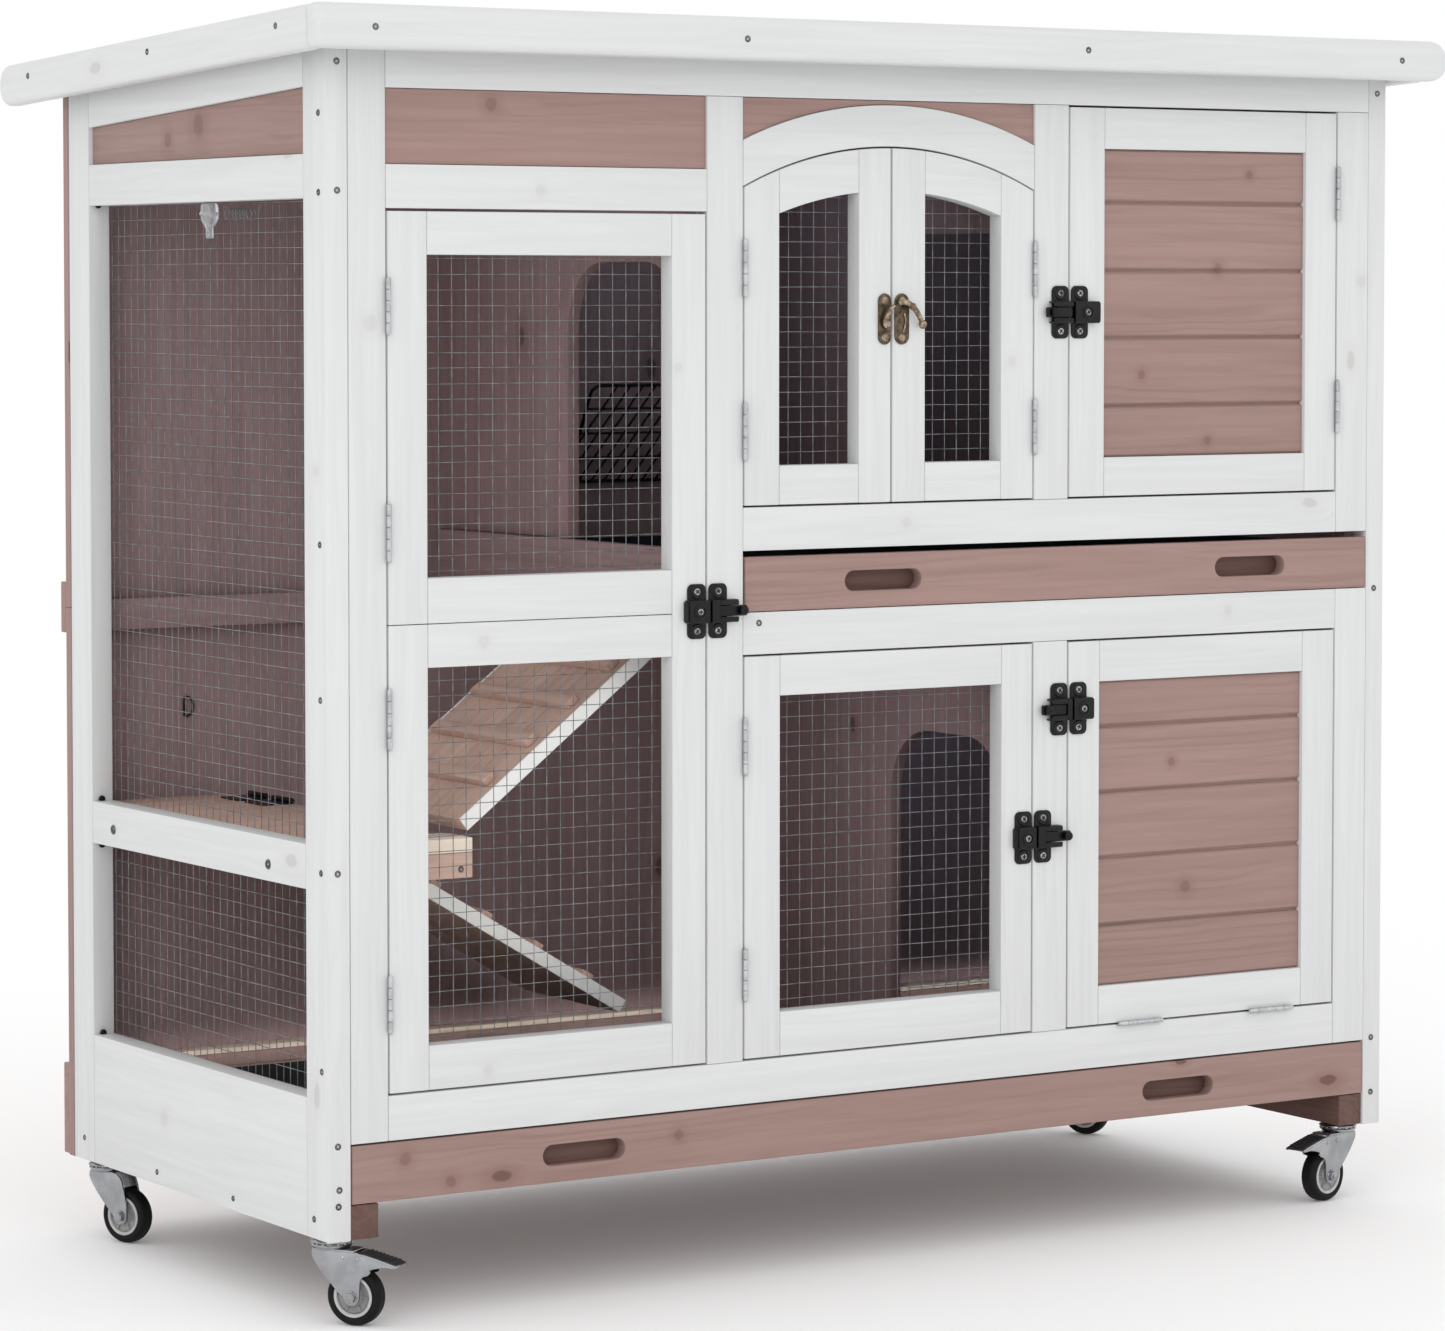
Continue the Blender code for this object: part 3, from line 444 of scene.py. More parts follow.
def sweep(points, radius, n=8, closed=False):
    """A round rod or wire along a path; radius may be one number or one per point."""
    pts = [Vector(p) for p in points]
    radii = radius if isinstance(radius, (list, tuple)) else [radius] * len(pts)
    bm = bmesh.new()
    count = len(pts)
    tangents = []
    for i in range(count):
        a = pts[i - 1] if (i > 0 or closed) else pts[i]
        b = pts[(i + 1) % count] if (i < count - 1 or closed) else pts[i]
        tangents.append((b - a).normalized())
    up = tangents[0].orthogonal().normalized()
    rings = []
    for i, p in enumerate(pts):
        t = tangents[i]
        up = (up - t * up.dot(t))
        up = up.normalized() if up.length > 1e-6 else t.orthogonal().normalized()
        side = t.cross(up)
        rings.append([bm.verts.new(p + (up * math.cos(2 * math.pi * k / n) + side * math.sin(2 * math.pi * k / n)) * radii[i])
                      for k in range(n)])
    span = count if closed else count - 1
    for i in range(span):
        a, b = rings[i], rings[(i + 1) % count]
        for k in range(n):
            m = (k + 1) % n
            bm.faces.new((a[k], a[m], b[m], b[k]))
    if not closed:
        bm.faces.new(rings[0])
        bm.faces.new(rings[-1])
    bmesh.ops.recalc_face_normals(bm, faces=bm.faces)
    return bm


def spline_path(points, per_span=6):
    out = []
    p = [points[0]] + list(points) + [points[-1]]
    for i in range(1, len(p) - 2):
        for k in range(per_span):
            t = k / per_span
            a, b, c, d = (Vector(q) for q in p[i - 1:i + 3])
            out.append(0.5 * ((2 * b) + (c - a) * t + (2 * a - 5 * b + 4 * c - d) * t * t
                              + (3 * b - a - 3 * c + d) * t ** 3))
    out.append(Vector(points[-1]))
    return out


def rounded(u0, u1, v0, v1, r, n=5):
    pts = []
    for cu, cv, start in ((u1 - r, v0 + r, -90), (u1 - r, v1 - r, 0), (u0 + r, v1 - r, 90), (u0 + r, v0 + r, 180)):
        for i in range(n + 1):
            a = math.radians(start + 90 * i / n)
            pts.append((cu + r * math.cos(a), cv + r * math.sin(a)))
    return pts


def circle(cu, cv, r, n=20):
    return [(cu + r * math.cos(2 * math.pi * i / n), cv + r * math.sin(2 * math.pi * i / n)) for i in range(n)]


def stadium(cu, cv, length, height, n=8):
    r = height / 2
    pts = []
    for sign, start in ((1, -90), (-1, 90)):
        for i in range(n + 1):
            a = math.radians(start + 180 * i / n)
            pts.append((cu + sign * (length / 2 - r) + r * math.cos(a), cv + r * math.sin(a)))
    return pts


class Piece:
    """One visible piece, gathered from boards, plates and wires in design millimetres."""

    def __init__(self, name, body, slot, mats, replaces=()):
        self.name, self.body, self.slot_name, self.mats, self.nodes = name, body, slot, mats, replaces
        self.co, self.grain, self.tone, self.faces, self.mat, self.smooth = [], [], [], [], [], []

    def add(self, bm, place=None, grain="X", local=False, mat=0, smooth=False):
        place = place or Matrix.Identity(4)
        start = len(self.co)
        tone = rng.random()
        off = Vector((rng.uniform(0, 4000), rng.uniform(0, 4000), rng.uniform(0, 4000)))
        order = {"X": (0, 2, 1), "XY": (0, 1, 2), "Y": (1, 2, 0), "YX": (1, 0, 2), "Z": (2, 0, 1), "ZY": (2, 1, 0)}[grain]
        bm.verts.index_update()
        for v in bm.verts:
            p = place @ v.co
            q = v.co if local else p
            self.co.append(p)
            self.grain.append((q[order[0]] + off.x, q[order[1]] + off.y, q[order[2]] + off.z))
            self.tone.append(tone)
        flip = place.determinant() < 0
        for f in bm.faces:
            ids = [start + v.index for v in f.verts]
            self.faces.append(ids[::-1] if flip else ids)
            self.mat.append(mat)
            self.smooth.append(smooth)
        bm.free()
        return self

    def make(self):
        mesh = bpy.data.meshes.new(self.name)
        mesh.from_pydata([tuple(TO_WORLD @ p) for p in self.co], [], self.faces)
        mesh.attributes.new("grain", "FLOAT_VECTOR", "POINT").data.foreach_set(
            "vector", [c for g in self.grain for c in g])
        mesh.attributes.new("tone", "FLOAT", "POINT").data.foreach_set("value", self.tone)
        mesh.polygons.foreach_set("material_index", self.mat)
        mesh.polygons.foreach_set("use_smooth", self.smooth)
        for m in self.mats:
            mesh.materials.append(m)
        mesh.update()
        mesh.set_sharp_from_angle(angle=math.radians(40))
        obj = bpy.data.objects.new(self.name, mesh)
        bpy.context.scene.collection.objects.link(obj)
        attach(obj, self.body)
        if self.nodes:
            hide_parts(*self.nodes)
        return obj


def member(piece, x, y, z, grain, width=0.8, mat=0):
    """A straight board of a frame, a hair short of its neighbours so the joint shows."""
    lo = (x[0] + SEAM, y[0], z[0] + SEAM)
    hi = (x[1] - SEAM, y[1], z[1] - SEAM)
    return piece.add(block(lo, hi, width), grain=grain, mat=mat)


SCREWS = {}


def screw(at, face, r=2.9, body="hutch_body", turn=None, look=None, sink=0.5):
    """A cross-head screw; face is the outward direction of the surface at that point."""
    SCREWS.setdefault((body, look or SCREW), []).append((Vector(at), Vector(face), r, turn, sink))


def screw_mesh(r):
    """A shallow domed head with a cut cross."""
    a, b = 0.62 * r, 0.17 * r
    cross = [(a, b), (b, b), (b, a), (-b, a), (-b, b), (-a, b), (-a, -b), (-b, -b), (-b, -a), (b, -a), (b, -b), (a, -b)]
    n = 20
    bm = bmesh.new()
    top = 0.32 * r
    outer = circle(0.0, 0.0, r * 0.82, n)
    verts = [bm.verts.new((x, y, top)) for x, y in outer] + [bm.verts.new((x, y, top)) for x, y in cross]
    tris = tessellate_polygon([[Vector((x, y, 0)) for x, y in outer], [Vector((x, y, 0)) for x, y in cross]])
    for t in tris:
        bm.faces.new([verts[i] for i in t])
    floor = [bm.verts.new((x * 0.7, y * 0.7, top - 0.5 * r)) for x, y in cross]
    m = len(cross)
    for i in range(m):
        j = (i + 1) % m
        bm.faces.new((verts[n + i], verts[n + j], floor[j], floor[i]))
    bm.faces.new(floor)
    previous = verts[:n]
    for rr, z in ((0.94 * r, 0.22 * r), (r, 0.05 * r), (r, -0.25 * r)):
        ring = [bm.verts.new((x * rr / (r * 0.82), y * rr / (r * 0.82), z)) for x, y in outer]
        for i in range(n):
            j = (i + 1) % n
            bm.faces.new((previous[i], previous[j], ring[j], ring[i]))
        previous = ring
    bm.faces.new(previous)
    bmesh.ops.recalc_face_normals(bm, faces=bm.faces)
    return bm


def make_screws():
    for k, ((body, look), items) in enumerate(sorted(SCREWS.items(), key=lambda i: (i[0][0], i[0][1].name))):
        slot = {"black_powder_coat": "black_metal", "antique_brass": "antique_brass"}.get(look.name, "bright_steel")
        piece = Piece("screws_%s_%d" % (body, k), body, slot, [look])
        for at, face, r, turn, sink in items:
            angle = rng.uniform(0, math.pi / 2) if turn is None else turn
            place = (Matrix.Translation(at - face * sink * 0.6) @ face.to_track_quat("Z", "Y").to_matrix().to_4x4()
                     @ Matrix.Rotation(angle, 4, "Z"))
            piece.add(screw_mesh(r), place, smooth=True)
        piece.make()


FRONT = Vector((0.0, -1.0, 0.0))
LEFT = Vector((-1.0, 0.0, 0.0))
RIGHT = Vector((1.0, 0.0, 0.0))
UP = Vector((0.0, 0.0, 1.0))

# ------------------------------------------------------------------ side frames
SY = (POST, D - 40.6)
RAIL_UP, RAIL_MID, BASE_TOP = (837.7, 873.5), (281.9, 318.9), 113.5
GABLE = (927.0, 905.5)

left = Piece("left_side_boards", "hutch_body", "white_wood", [WHITE], ["left_side_frame"])
left.add(prism([(0, 0), (POST - SEAM, 0), (POST - SEAM, roof_under(POST)), (0, roof_under(0))], 0, T, "yz", 1.2), grain="ZY")
left.add(prism([(SY[1] + SEAM, 0), (D, 0), (D, roof_under(D)), (SY[1] + SEAM, roof_under(SY[1]))], 0, T, "yz", 1.2), grain="ZY")
member(left, (0, T), (SY[0] + SEAM, SY[1] - SEAM), (0, BASE_TOP), "Y", 1.0)
member(left, (0, T), (SY[0] + SEAM, SY[1] - SEAM), RAIL_MID, "Y", 1.0)
member(left, (0, T), (SY[0] + SEAM, SY[1] - SEAM), RAIL_UP, "Y", 1.0)
left.add(prism([(SY[0] + SEAM, GABLE[0]), (SY[1] - SEAM, GABLE[1]), (SY[1] - SEAM, roof_under(SY[1])),
                (SY[0] + SEAM, roof_under(SY[0]))], SEAM, T - SEAM, "yz", 1.0), grain="Y")
left.make()
gable = Piece("left_gable", "hutch_body", "brown_wood", [BROWN], ["left_gable_board"])
gable.add(prism([(SY[0] + .3, RAIL_UP[1] + .3), (SY[1] - .3, RAIL_UP[1] + .3), (SY[1] - .3, GABLE[1] - .3),
                 (SY[0] + .3, GABLE[0] - .3)], 4.0, 14.0, "yz", 0.6), grain="Y")
gable.make()

right = Piece("right_side_boards", "hutch_body", "white_wood", [WHITE], ["right_side_frame"])
xr = (W - T, W)
right.add(prism([(0, 0), (POST - SEAM, 0), (POST - SEAM, roof_under(POST)), (0, roof_under(0))], *xr, "yz", 1.2), grain="ZY")
right.add(prism([(SY[1] + SEAM, 0), (D, 0), (D, roof_under(D)), (SY[1] + SEAM, roof_under(SY[1]))], *xr, "yz", 1.2), grain="ZY")
member(right, xr, (SY[0] + SEAM, SY[1] - SEAM), (0, BASE_TOP), "Y", 1.0)
member(right, xr, (SY[0] + SEAM, SY[1] - SEAM), (458.0, 493.8), "Y", 1.0)
right.add(prism([(SY[0] + SEAM, GABLE[1] - 4), (SY[1] - SEAM, GABLE[1] - 4), (SY[1] - SEAM, roof_under(SY[1])),
                 (SY[0] + SEAM, roof_under(SY[0]))], xr[0] + SEAM, xr[1] - SEAM, "yz", 1.0), grain="Y")
right.make()

infill = Piece("right_side_slats", "hutch_body", "brown_wood", [BROWN], ["right_side_board"])
z = 82.0
while z < 940.0:
    z1 = z + 59.6
    xs = (1059.2, 1068.9)
    if z1 < 925.0:
        infill.add(prism([(xs[0], z + 4.5), (xs[0], z1 - .1), (xs[0] + 3, z1 - .1), (xs[0] + 3, z1 + 3.6), (xs[0] + 6, z1 + 3.6),
                          (xs[0] + 6, z1 - .1), (xs[1] - 1.2, z1 - .1), (xs[1], z1 - 1.3), (xs[1], z + 1.4), (xs[1] - 1.2, z + .2),
                          (xs[0] + 6.4, z + .2), (xs[0] + 6.4, z + 4.5)], 18.5, 479.5, "xz", 0.0), grain="Y")
        z = z1
    else:
        infill.add(prism([(18.5, z + .3), (479.5, z + .3), (479.5, roof_under(479.5)), (18.5, roof_under(18.5))],
                         xs[0] + .1, xs[1], "yz", 1.0), grain="Y")
        break
infill.make()

# ------------------------------------------------------------------ fixed front
FY = (0.0, TF)
front = Piece("front_boards", "hutch_body", "white_wood", [WHITE],
              ["front_left_stile", "front_middle_stile", "front_top_rail", "front_header_rail", "front_arch_header",
               "front_upper_frame", "front_lower_frame"])
member(front, X_STILE, FY, (Z_RAIL_BOT[0], TOP), "Z")
member(front, X_MID, FY, (Z_RAIL_BOT[1], Z_TOP), "Z")
member(front, (X_STILE[1], X_END[1]), FY, (Z_TOP, TOP), "X")
member(front, (X_STILE[1], X_MID[0]), FY, Z_HEAD, "X")
member(front, (X_MID[1], X_END[0]), FY, Z_RAIL_UP, "X")
member(front, X_END, FY, (Z_RAIL_UP[0], Z_TOP), "Z")
member(front, X_DIV, FY, (Z_RAIL_UP[1], Z_TOP), "Z")
member(front, (X_MID[1], X_END[0]), FY, Z_RAIL_LOW, "X")
member(front, X_END, FY, (Z_RAIL_BOT[0], Z_RAIL_LOW[1]), "Z")
member(front, X_DIV, FY, (Z_RAIL_BOT[1], Z_RAIL_LOW[0]), "Z")
member(front, (X_STILE[1], X_END[0]), FY, Z_RAIL_BOT, "X")
AX = (X_MID[1] + .2, X_DIV[0] - .2)
front.add(prism(arch_line(AX[0], AX[1], 36) + arch_line(AX[1], AX[0], 36, 0, True), 0.0, TF, "xz", 0.9), grain="X")
front.make()
header = Piece("front_brown_boards", "hutch_body", "brown_wood", [BROWN], ["front_header_board", "front_arch_board"])
header.add(block((X_STILE[1] + .3, 2.5, Z_HEAD[1] + .3), (X_MID[0] - .3, 12.5, Z_TOP - .3), 0.6), grain="X")
header.add(prism(arch_line(AX[0], AX[1], 36, -.4, True) + [(AX[1], Z_TOP - .3), (AX[0], Z_TOP - .3)], 2.5, 12.5, "xz", 0.5), grain="X")
header.make()

# ------------------------------------------------------------------ back and inside
BY = (D + .3, D + 12.3)
back = Piece("back_walls", "hutch_body", "brown_wood", [BROWN, INNER], ["back_upper_wall", "back_lower_wall"])
for z0, z1 in ((0.0, 485.6), (486.0, roof_under(BY[1]))):
    count = 9
    pitch = W / count
    for i in range(count):
        x0, x1 = i * pitch, (i + 1) * pitch
        back.add(prism([(x0 + .15, BY[0] + 3), (x1 - .15, BY[0] + 3), (x1 - .15, BY[1] - 1.2), (x1 - 1.4, BY[1]),
                        (x0 + 1.4, BY[1]), (x0 + .15, BY[1] - 1.2)], z0, z1, "xy", 0.0), grain="Z")
    back.add(block((0.0, BY[0], z0 + .1), (W, BY[0] + 3.0, z1 - .1), 0.3), grain="Z", mat=1)
member(back, (0.4, W - .4), (BY[1] + .05, BY[1] + 10.7), (0.5, 81.0), "X", 1.0)
member(back, (0.4, W - .4), (BY[1] + .05, BY[1] + 10.7), (463.0, 508.0), "X", 1.0)
back.make()

inner = Piece("inner_boards", "hutch_body", "brown_wood", [INNER, BROWN, CREAM_PAINTED_LIGHT, DARKER],
              ["back_tray_batten", "upper_left_partition", "upper_right_partition", "lower_partition",
               "tray_sill_board", "left_skid", "right_skid"])
inner.add(block((22.3, 462.0, 466.0), (1058.0, 480.0, 493.6), 1.0), grain="X")
PY = (19.5, 480.0)


def doorway(y0, y1, base, top, radius, n=10):
    pts = [(y1, base)]
    for cy, start in ((y1 - radius, 0), (y0 + radius, 90)):
        for i in range(n + 1):
            a = math.radians(start + 90 * i / n)
            pts.append((cy + radius * math.cos(a), top - radius + radius * math.sin(a)))
    pts.append((y0, base))
    return pts


for xs, base, top0, top1, door, radius in (
        ((370.3, 382.3), 547.0, roof_under(PY[0]), roof_under(PY[1]), (60.0, 249.0, 789.0), 60.0),
        ((707.0, 719.0), 547.0, roof_under(PY[0]), roof_under(PY[1]), (60.0, 250.0, 815.0), 25.0),
        ((707.0, 719.0), 84.0, 458.0, 458.0, (60.0, 238.0, 366.0), 60.0)):
    opening = doorway(door[0], door[1], base, door[2], radius)
    loop = [(PY[0], base)] + opening[::-1] + [(PY[1], base), (PY[1], top1), (PY[0], top0)]
    inner.add(prism(loop, xs[0], xs[1], "yz", 1.0), grain="ZY")
inner.add(block((358.8, PY[0], 486.0), (370.0, 461.7, 546.7), 1.0), grain="Y")
inner.add(block((20.3, 2.0, 0.4), (46.2, 478.0, 28.6), 1.2), grain="Y", mat=3)
inner.add(block((1043.2, 2.0, 0.4), (1069.1, 478.0, 28.6), 1.2), grain="Y", mat=3)
inner.add(block((60.0, 461.5, 46.0), (1040.0, 479.8, 82.8), 1.0), grain="X", mat=1)
# cream top edge of the back sill, its colour brightened as painted light
inner.add(block((60.0, 460.5, 83.0), (1040.0, 479.8, 87.5), 0.8), grain="X", mat=2)
inner.make()

land = Piece("landing", "hutch_body", "raw_wood", [RAW, CREAM_PAINTED_LIGHT], ["landing_platform"])
pitch = (461.0 - 30.0) / 8
# the front plank takes the brightened cream: partly painted light
for i in range(8):
    land.add(block((22.0, 30.0 + i * pitch + .25, 304.1), (150.0, 30.0 + (i + 1) * pitch - .25, 316.0), 0.9), grain="XY", mat=1 if i < 1 else 0)
for y in (30.0, 447.0):
    land.add(block((22.0, y, 283.0), (150.0, y + 14.0, 303.9), 1.2), grain="X")
land.make()

rack = Piece("hay_rack_wires", "hutch_body", "black_metal", [DARKWIRE], ["hay_rack"])
tilt = Matrix.Translation((585.0, 448.0, 632.0)) @ Matrix.Rotation(math.radians(28), 4, "X")
corner = [(-84, 0, -51), (84, 0, -51), (84, 0, 51), (-84, 0, 51)]
rack.add(sweep(rounded(-84, 84, -51, 51, 9, 4) and [(u, 0, v) for u, v in rounded(-84, 84, -51, 51, 9, 4)], 1.6, 8, True), tilt, smooth=True)
for v in (-26, 0, 26):
    rack.add(sweep([(-84, 0.6, v), (84, 0.6, v)], 1.1, 6), tilt, smooth=True)
for i in range(13):
    u = -84 + 14 * i
    a, b = max(u - 16, -83), min(u + 26, 83)
    va, vb = -50 + 100 * (a - (u - 16)) / 42, 50 - 100 * ((u + 26) - b) / 42
    if vb - va > 15:
        rack.add(sweep([(a, -0.8, va), (b, -0.8, vb)], 1.1, 6), tilt, smooth=True)
rack.make()


# ------------------------------------------------------------------ wire mesh
def mesh_sheet(name, body, nodes, plane, u, v, at, pitch=12.7, r=0.37, top=None, sag=0.35):
    """Welded wire cloth: crossing wires in two layers, each very slightly out of true."""
    piece = Piece(name, body, "zinc_mesh", [ZINC], nodes)

    def spot(a, b, d):
        return (a, at + d, b) if plane == "y" else (at + d, a, b)
    nu = int((u[1] - u[0]) / pitch)
    u0 = (u[0] + u[1] - nu * pitch) / 2
    nv = int((v[1] - v[0]) / pitch)
    v0 = (v[0] + v[1] - nv * pitch) / 2
    for i in range(nu + 1):
        a = u0 + i * pitch
        end = v[1] if top is None else top(a)
        count = max(3, int((end - v[0]) / 60))
        ph = rng.uniform(0, 6.28)
        amp = rng.uniform(0.3, 1.0) * sag
        pts = [spot(a + amp * math.sin(ph + 5.0 * k / count), v[0] + (end - v[0]) * k / count, 0.30) for k in range(count + 1)]
        piece.add(sweep(pts, r, 6), smooth=True)
    for i in range(nv + 1):
        b = v0 + i * pitch
        lo, hi = u
        if top is not None and b > min(top(lo), top(hi)):
            inside = [x for x in (lo + (hi - lo) * k / 120 for k in range(121)) if top(x) >= b]
            if not inside:
                continue
            lo, hi = min(inside), max(inside)
        count = max(3, int((hi - lo) / 60))
        ph = rng.uniform(0, 6.28)
        amp = rng.uniform(0.3, 1.0) * sag
        pts = [spot(lo + (hi - lo) * k / count, b + amp * math.sin(ph + 5.0 * k / count), -0.30) for k in range(count + 1)]
        piece.add(sweep(pts, r, 6), smooth=True)
    return piece.make()


mesh_sheet("left_side_wire", "hutch_body", ["left_side_mesh"], "x", (28.0, 452.0), (100.0, 850.0), 20.95, sag=0.8)
mesh_sheet("tall_door_wire", "tall_door", ["tall_door_mesh"], "y", (82.0, 334.0), (142.0, 803.0), 18.95, sag=0.5)
for side, x0, x1 in (("left", 422.4, 519.0), ("right", 571.5, 667.5)):
    mesh_sheet("arch_%s_wire" % side, "arch_%s_door" % side, ["arch_%s_door_mesh" % side], "y", (x0, x1), (609.0, 900.0), 18.95,
               top=lambda x: arch(x, 30.0))
mesh_sheet("lower_middle_wire", "lower_middle_door", ["lower_middle_door_mesh"], "y", (421.0, 671.0), (144.0, 432.0), 18.95, sag=0.5)


# ------------------------------------------------------------------ doors
def door(name, body, nodes, members):
    piece = Piece(name, body, "white_wood", [WHITE], nodes)
    for item in members:
        if len(item) == 3:
            x, z, grain = item
            member(piece, x, FY, z, grain)
        else:
            loop, grain = item
            piece.add(prism(loop, 0.0, TF, "xz", 0.8), grain=grain)
    return piece.make()


TX, TZ = (55.9, 357.0), (116.2, 827.8)
door("tall_door_boards", "tall_door", ["tall_door_frame"], [
    ((TX[0], 92.0), (495.2, TZ[1]), "Z"), ((TX[0], 92.0), (TZ[0], 494.8), "Z"), ((324.0, TX[1]), TZ, "Z"),
    ((92.0, 324.0), (792.7, TZ[1]), "X"), ((92.0, 324.0), (495.2, 532.0), "X"),
    ((92.0, 324.0), (459.4, 494.8), "X"), ((92.0, 324.0), (TZ[0], 152.6), "X")])
for side, x0, x1, w0, w1 in (("left", 395.6, 543.65, 430.4, 511.0), ("right", 545.65, 693.7, 579.5, 659.5)):
    door("arch_%s_boards" % side, "arch_%s_door" % side, ["arch_%s_door_frame" % side], [
        ([(x0, 583.7), (w0 - SEAM, 583.7)] + arch_line(w0 - SEAM, x0, 8, 1.5), "Z"),
        ([(w1 + SEAM, 583.7), (x1, 583.7)] + arch_line(x1, w1 + SEAM, 8, 1.5), "Z"),
        ((w0, w1), (583.7, 617.0), "X"),
        (arch_line(w0 + SEAM, w1 - SEAM, 12, 38.0) + arch_line(w1 - SEAM, w0 + SEAM, 12, 1.5), "X")])
RX, LZ = (733.3, 1032.0), (116.2, 456.5)
door("upper_right_boards", "upper_right_door", ["upper_right_door_frame"], [
    ((RX[0], 771.0), (583.7, 924.5), "Z"), ((996.6, RX[1]), (583.7, 924.5), "Z"),
    ((771.0, 996.6), (583.7, 618.0), "X"), ((771.0, 996.6), (888.4, 924.5), "X")])
door("lower_middle_boards", "lower_middle_door", ["lower_middle_door_frame"], [
    ((395.6, 431.3), LZ, "Z"), ((661.0, 693.7), LZ, "Z"), ((431.3, 661.0), (LZ[0], 154.0), "X"), ((431.3, 661.0), (422.3, LZ[1]), "X")])
door("lower_right_boards", "lower_right_door", ["lower_right_door_frame"], [
    ((RX[0], 767.0), LZ, "Z"), ((995.8, RX[1]), LZ, "Z"), ((767.0, 995.8), (LZ[0], 150.3), "X"), ((767.0, 995.8), (420.2, LZ[1]), "X")])


def slats(name, body, node_name, x, z, grooves):
    """Tongue and groove boards with a small V at each joint."""
    piece = Piece(name, body, "brown_wood", [BROWN], [node_name])
    levels = [z[0] + .3] + grooves + [z[1] - .3]
    y0, y1 = 4.0, 14.0
    for a, b in zip(levels, levels[1:]):
        lo, hi = a + (1.25 if a != levels[0] else 0.0), b - (1.25 if b != levels[-1] else 0.0)
        pts = [(y0, lo + 1.6), (y0, hi - 1.6), (y0 + 1.6, hi), (y0 + 3.4, hi)]
        if b != levels[-1]:
            pts += [(y0 + 3.4, hi + 5.0), (y0 + 6.4, hi + 5.0), (y0 + 6.4, hi)]
        pts += [(y1, hi), (y1, lo)]
        if a != levels[0]:
            pts += [(y0 + 6.7, lo), (y0 + 6.7, lo + 5.0), (y0 + 3.1, lo + 5.0), (y0 + 3.1, lo)]
        pts += [(y0 + 1.6, lo)]
        piece.add(prism(pts, x[0] + .3, x[1] - .3, "yz", 0.0), grain="X")
    piece.make()


slats("upper_right_slats", "upper_right_door", "upper_right_door_slats", (771.0, 996.6), (618.0, 888.4), [663.0, 723.0, 782.0, 842.0])
slats("lower_right_slats", "lower_right_door", "lower_right_door_slats", (767.0, 995.8), (150.3, 420.2), [203.6, 263.5, 322.0, 380.0])


# ------------------------------------------------------------------ trays
def tray(name, body, node_name, front_x, box_x, zs, slots):
    piece = Piece(name, body, "brown_wood", [BROWN, DARKER], [node_name])
    loops = [[(front_x[0], zs[0]), (front_x[1], zs[0]), (front_x[1], zs[1]), (front_x[0], zs[1])]]
    loops += [stadium(cx, cz, 79.0, 17.5, 10) for cx, cz in slots]
    place = Matrix.Translation((0, 6.6, 0)) @ Matrix.Rotation(math.radians(90), 4, "X")
    piece.add(cutout(loops, 6.6, 1.1, 2), place, grain="X")
    rim = zs[1] - 4.0
    # board behind the finger slots in the darker brown: painted shade in the slot recess
    piece.add(block((box_x[0] + 10.2, 13.4, zs[0] + .2), (box_x[1] - 10.2, 21.0, rim - .1), 0.6), grain="X", mat=1)
    for x in (box_x[0], box_x[1] - 10.0):
        piece.add(block((x, 13.4, zs[0] + .2), (x + 10.0, 459.0, rim), 0.8), grain="Y")
    piece.add(block((box_x[0] + 10.2, 449.0, zs[0] + .2), (box_x[1] - 10.2, 459.0, rim), 0.8), grain="X")
    # tray floor in the darker brown: painted shade
    piece.add(block((box_x[0] + 10.2, 21.2, zs[0] + 1.0), (box_x[1] - 10.2, 448.8, zs[0] + 5.0), 0.4), grain="X", mat=1)
    piece.make()
    liner = Piece(name + "_liner", body, "black_metal", [LINER])
    x0, x1, y0, y1, z0, z1 = box_x[0] + 10.6, box_x[1] - 10.6, 21.6, 448.4, zs[0] + 5.2, rim - 1.0
    outer = rounded(x0, x1, y0, y1, 10, 5)
    bm = bmesh.new()
    cx, cy = (x0 + x1) / 2, (y0 + y1) / 2

    def ring(inset, z):
        return [bm.verts.new((cx + (a - cx) * (1 - inset / (x1 - cx)), cy + (b - cy) * (1 - inset / (y1 - cy)), z)) for a, b in outer]
    rows = [ring(8.0, z0), ring(3.0, z0 + .4), ring(1.2, z0 + 3), ring(0.2, z1 - 1), ring(0.0, z1), ring(1.6, z1 + .2), ring(1.9, z1 - 1),
            ring(3.0, z0 + 5), ring(4.8, z0 + 2.2), ring(10.0, z0 + 1.6)]
    n = len(outer)
    bm.faces.new(rows[0])
    for a, b in zip(rows, rows[1:]):
        for i in range(n):
            j = (i + 1) % n
            bm.faces.new((a[i], a[j], b[j], b[i]))
    bm.faces.new(rows[-1])
    bmesh.ops.recalc_face_normals(bm, faces=bm.faces)
    liner.add(bm, smooth=True)
    liner.make()


tray("upper_tray_boards", "upper_tray", "upper_tray", (396.3, 1068.2), (398.0, 1054.0), UP_TRAY_Z, ((536.8, 517.3), (935.0, 517.3)))
tray("lower_tray_boards", "lower_tray", "lower_tray", (21.3, 1068.2), (24.0, 1054.0), LO_TRAY_Z, ((238.4, 52.0), (856.3, 52.0)))


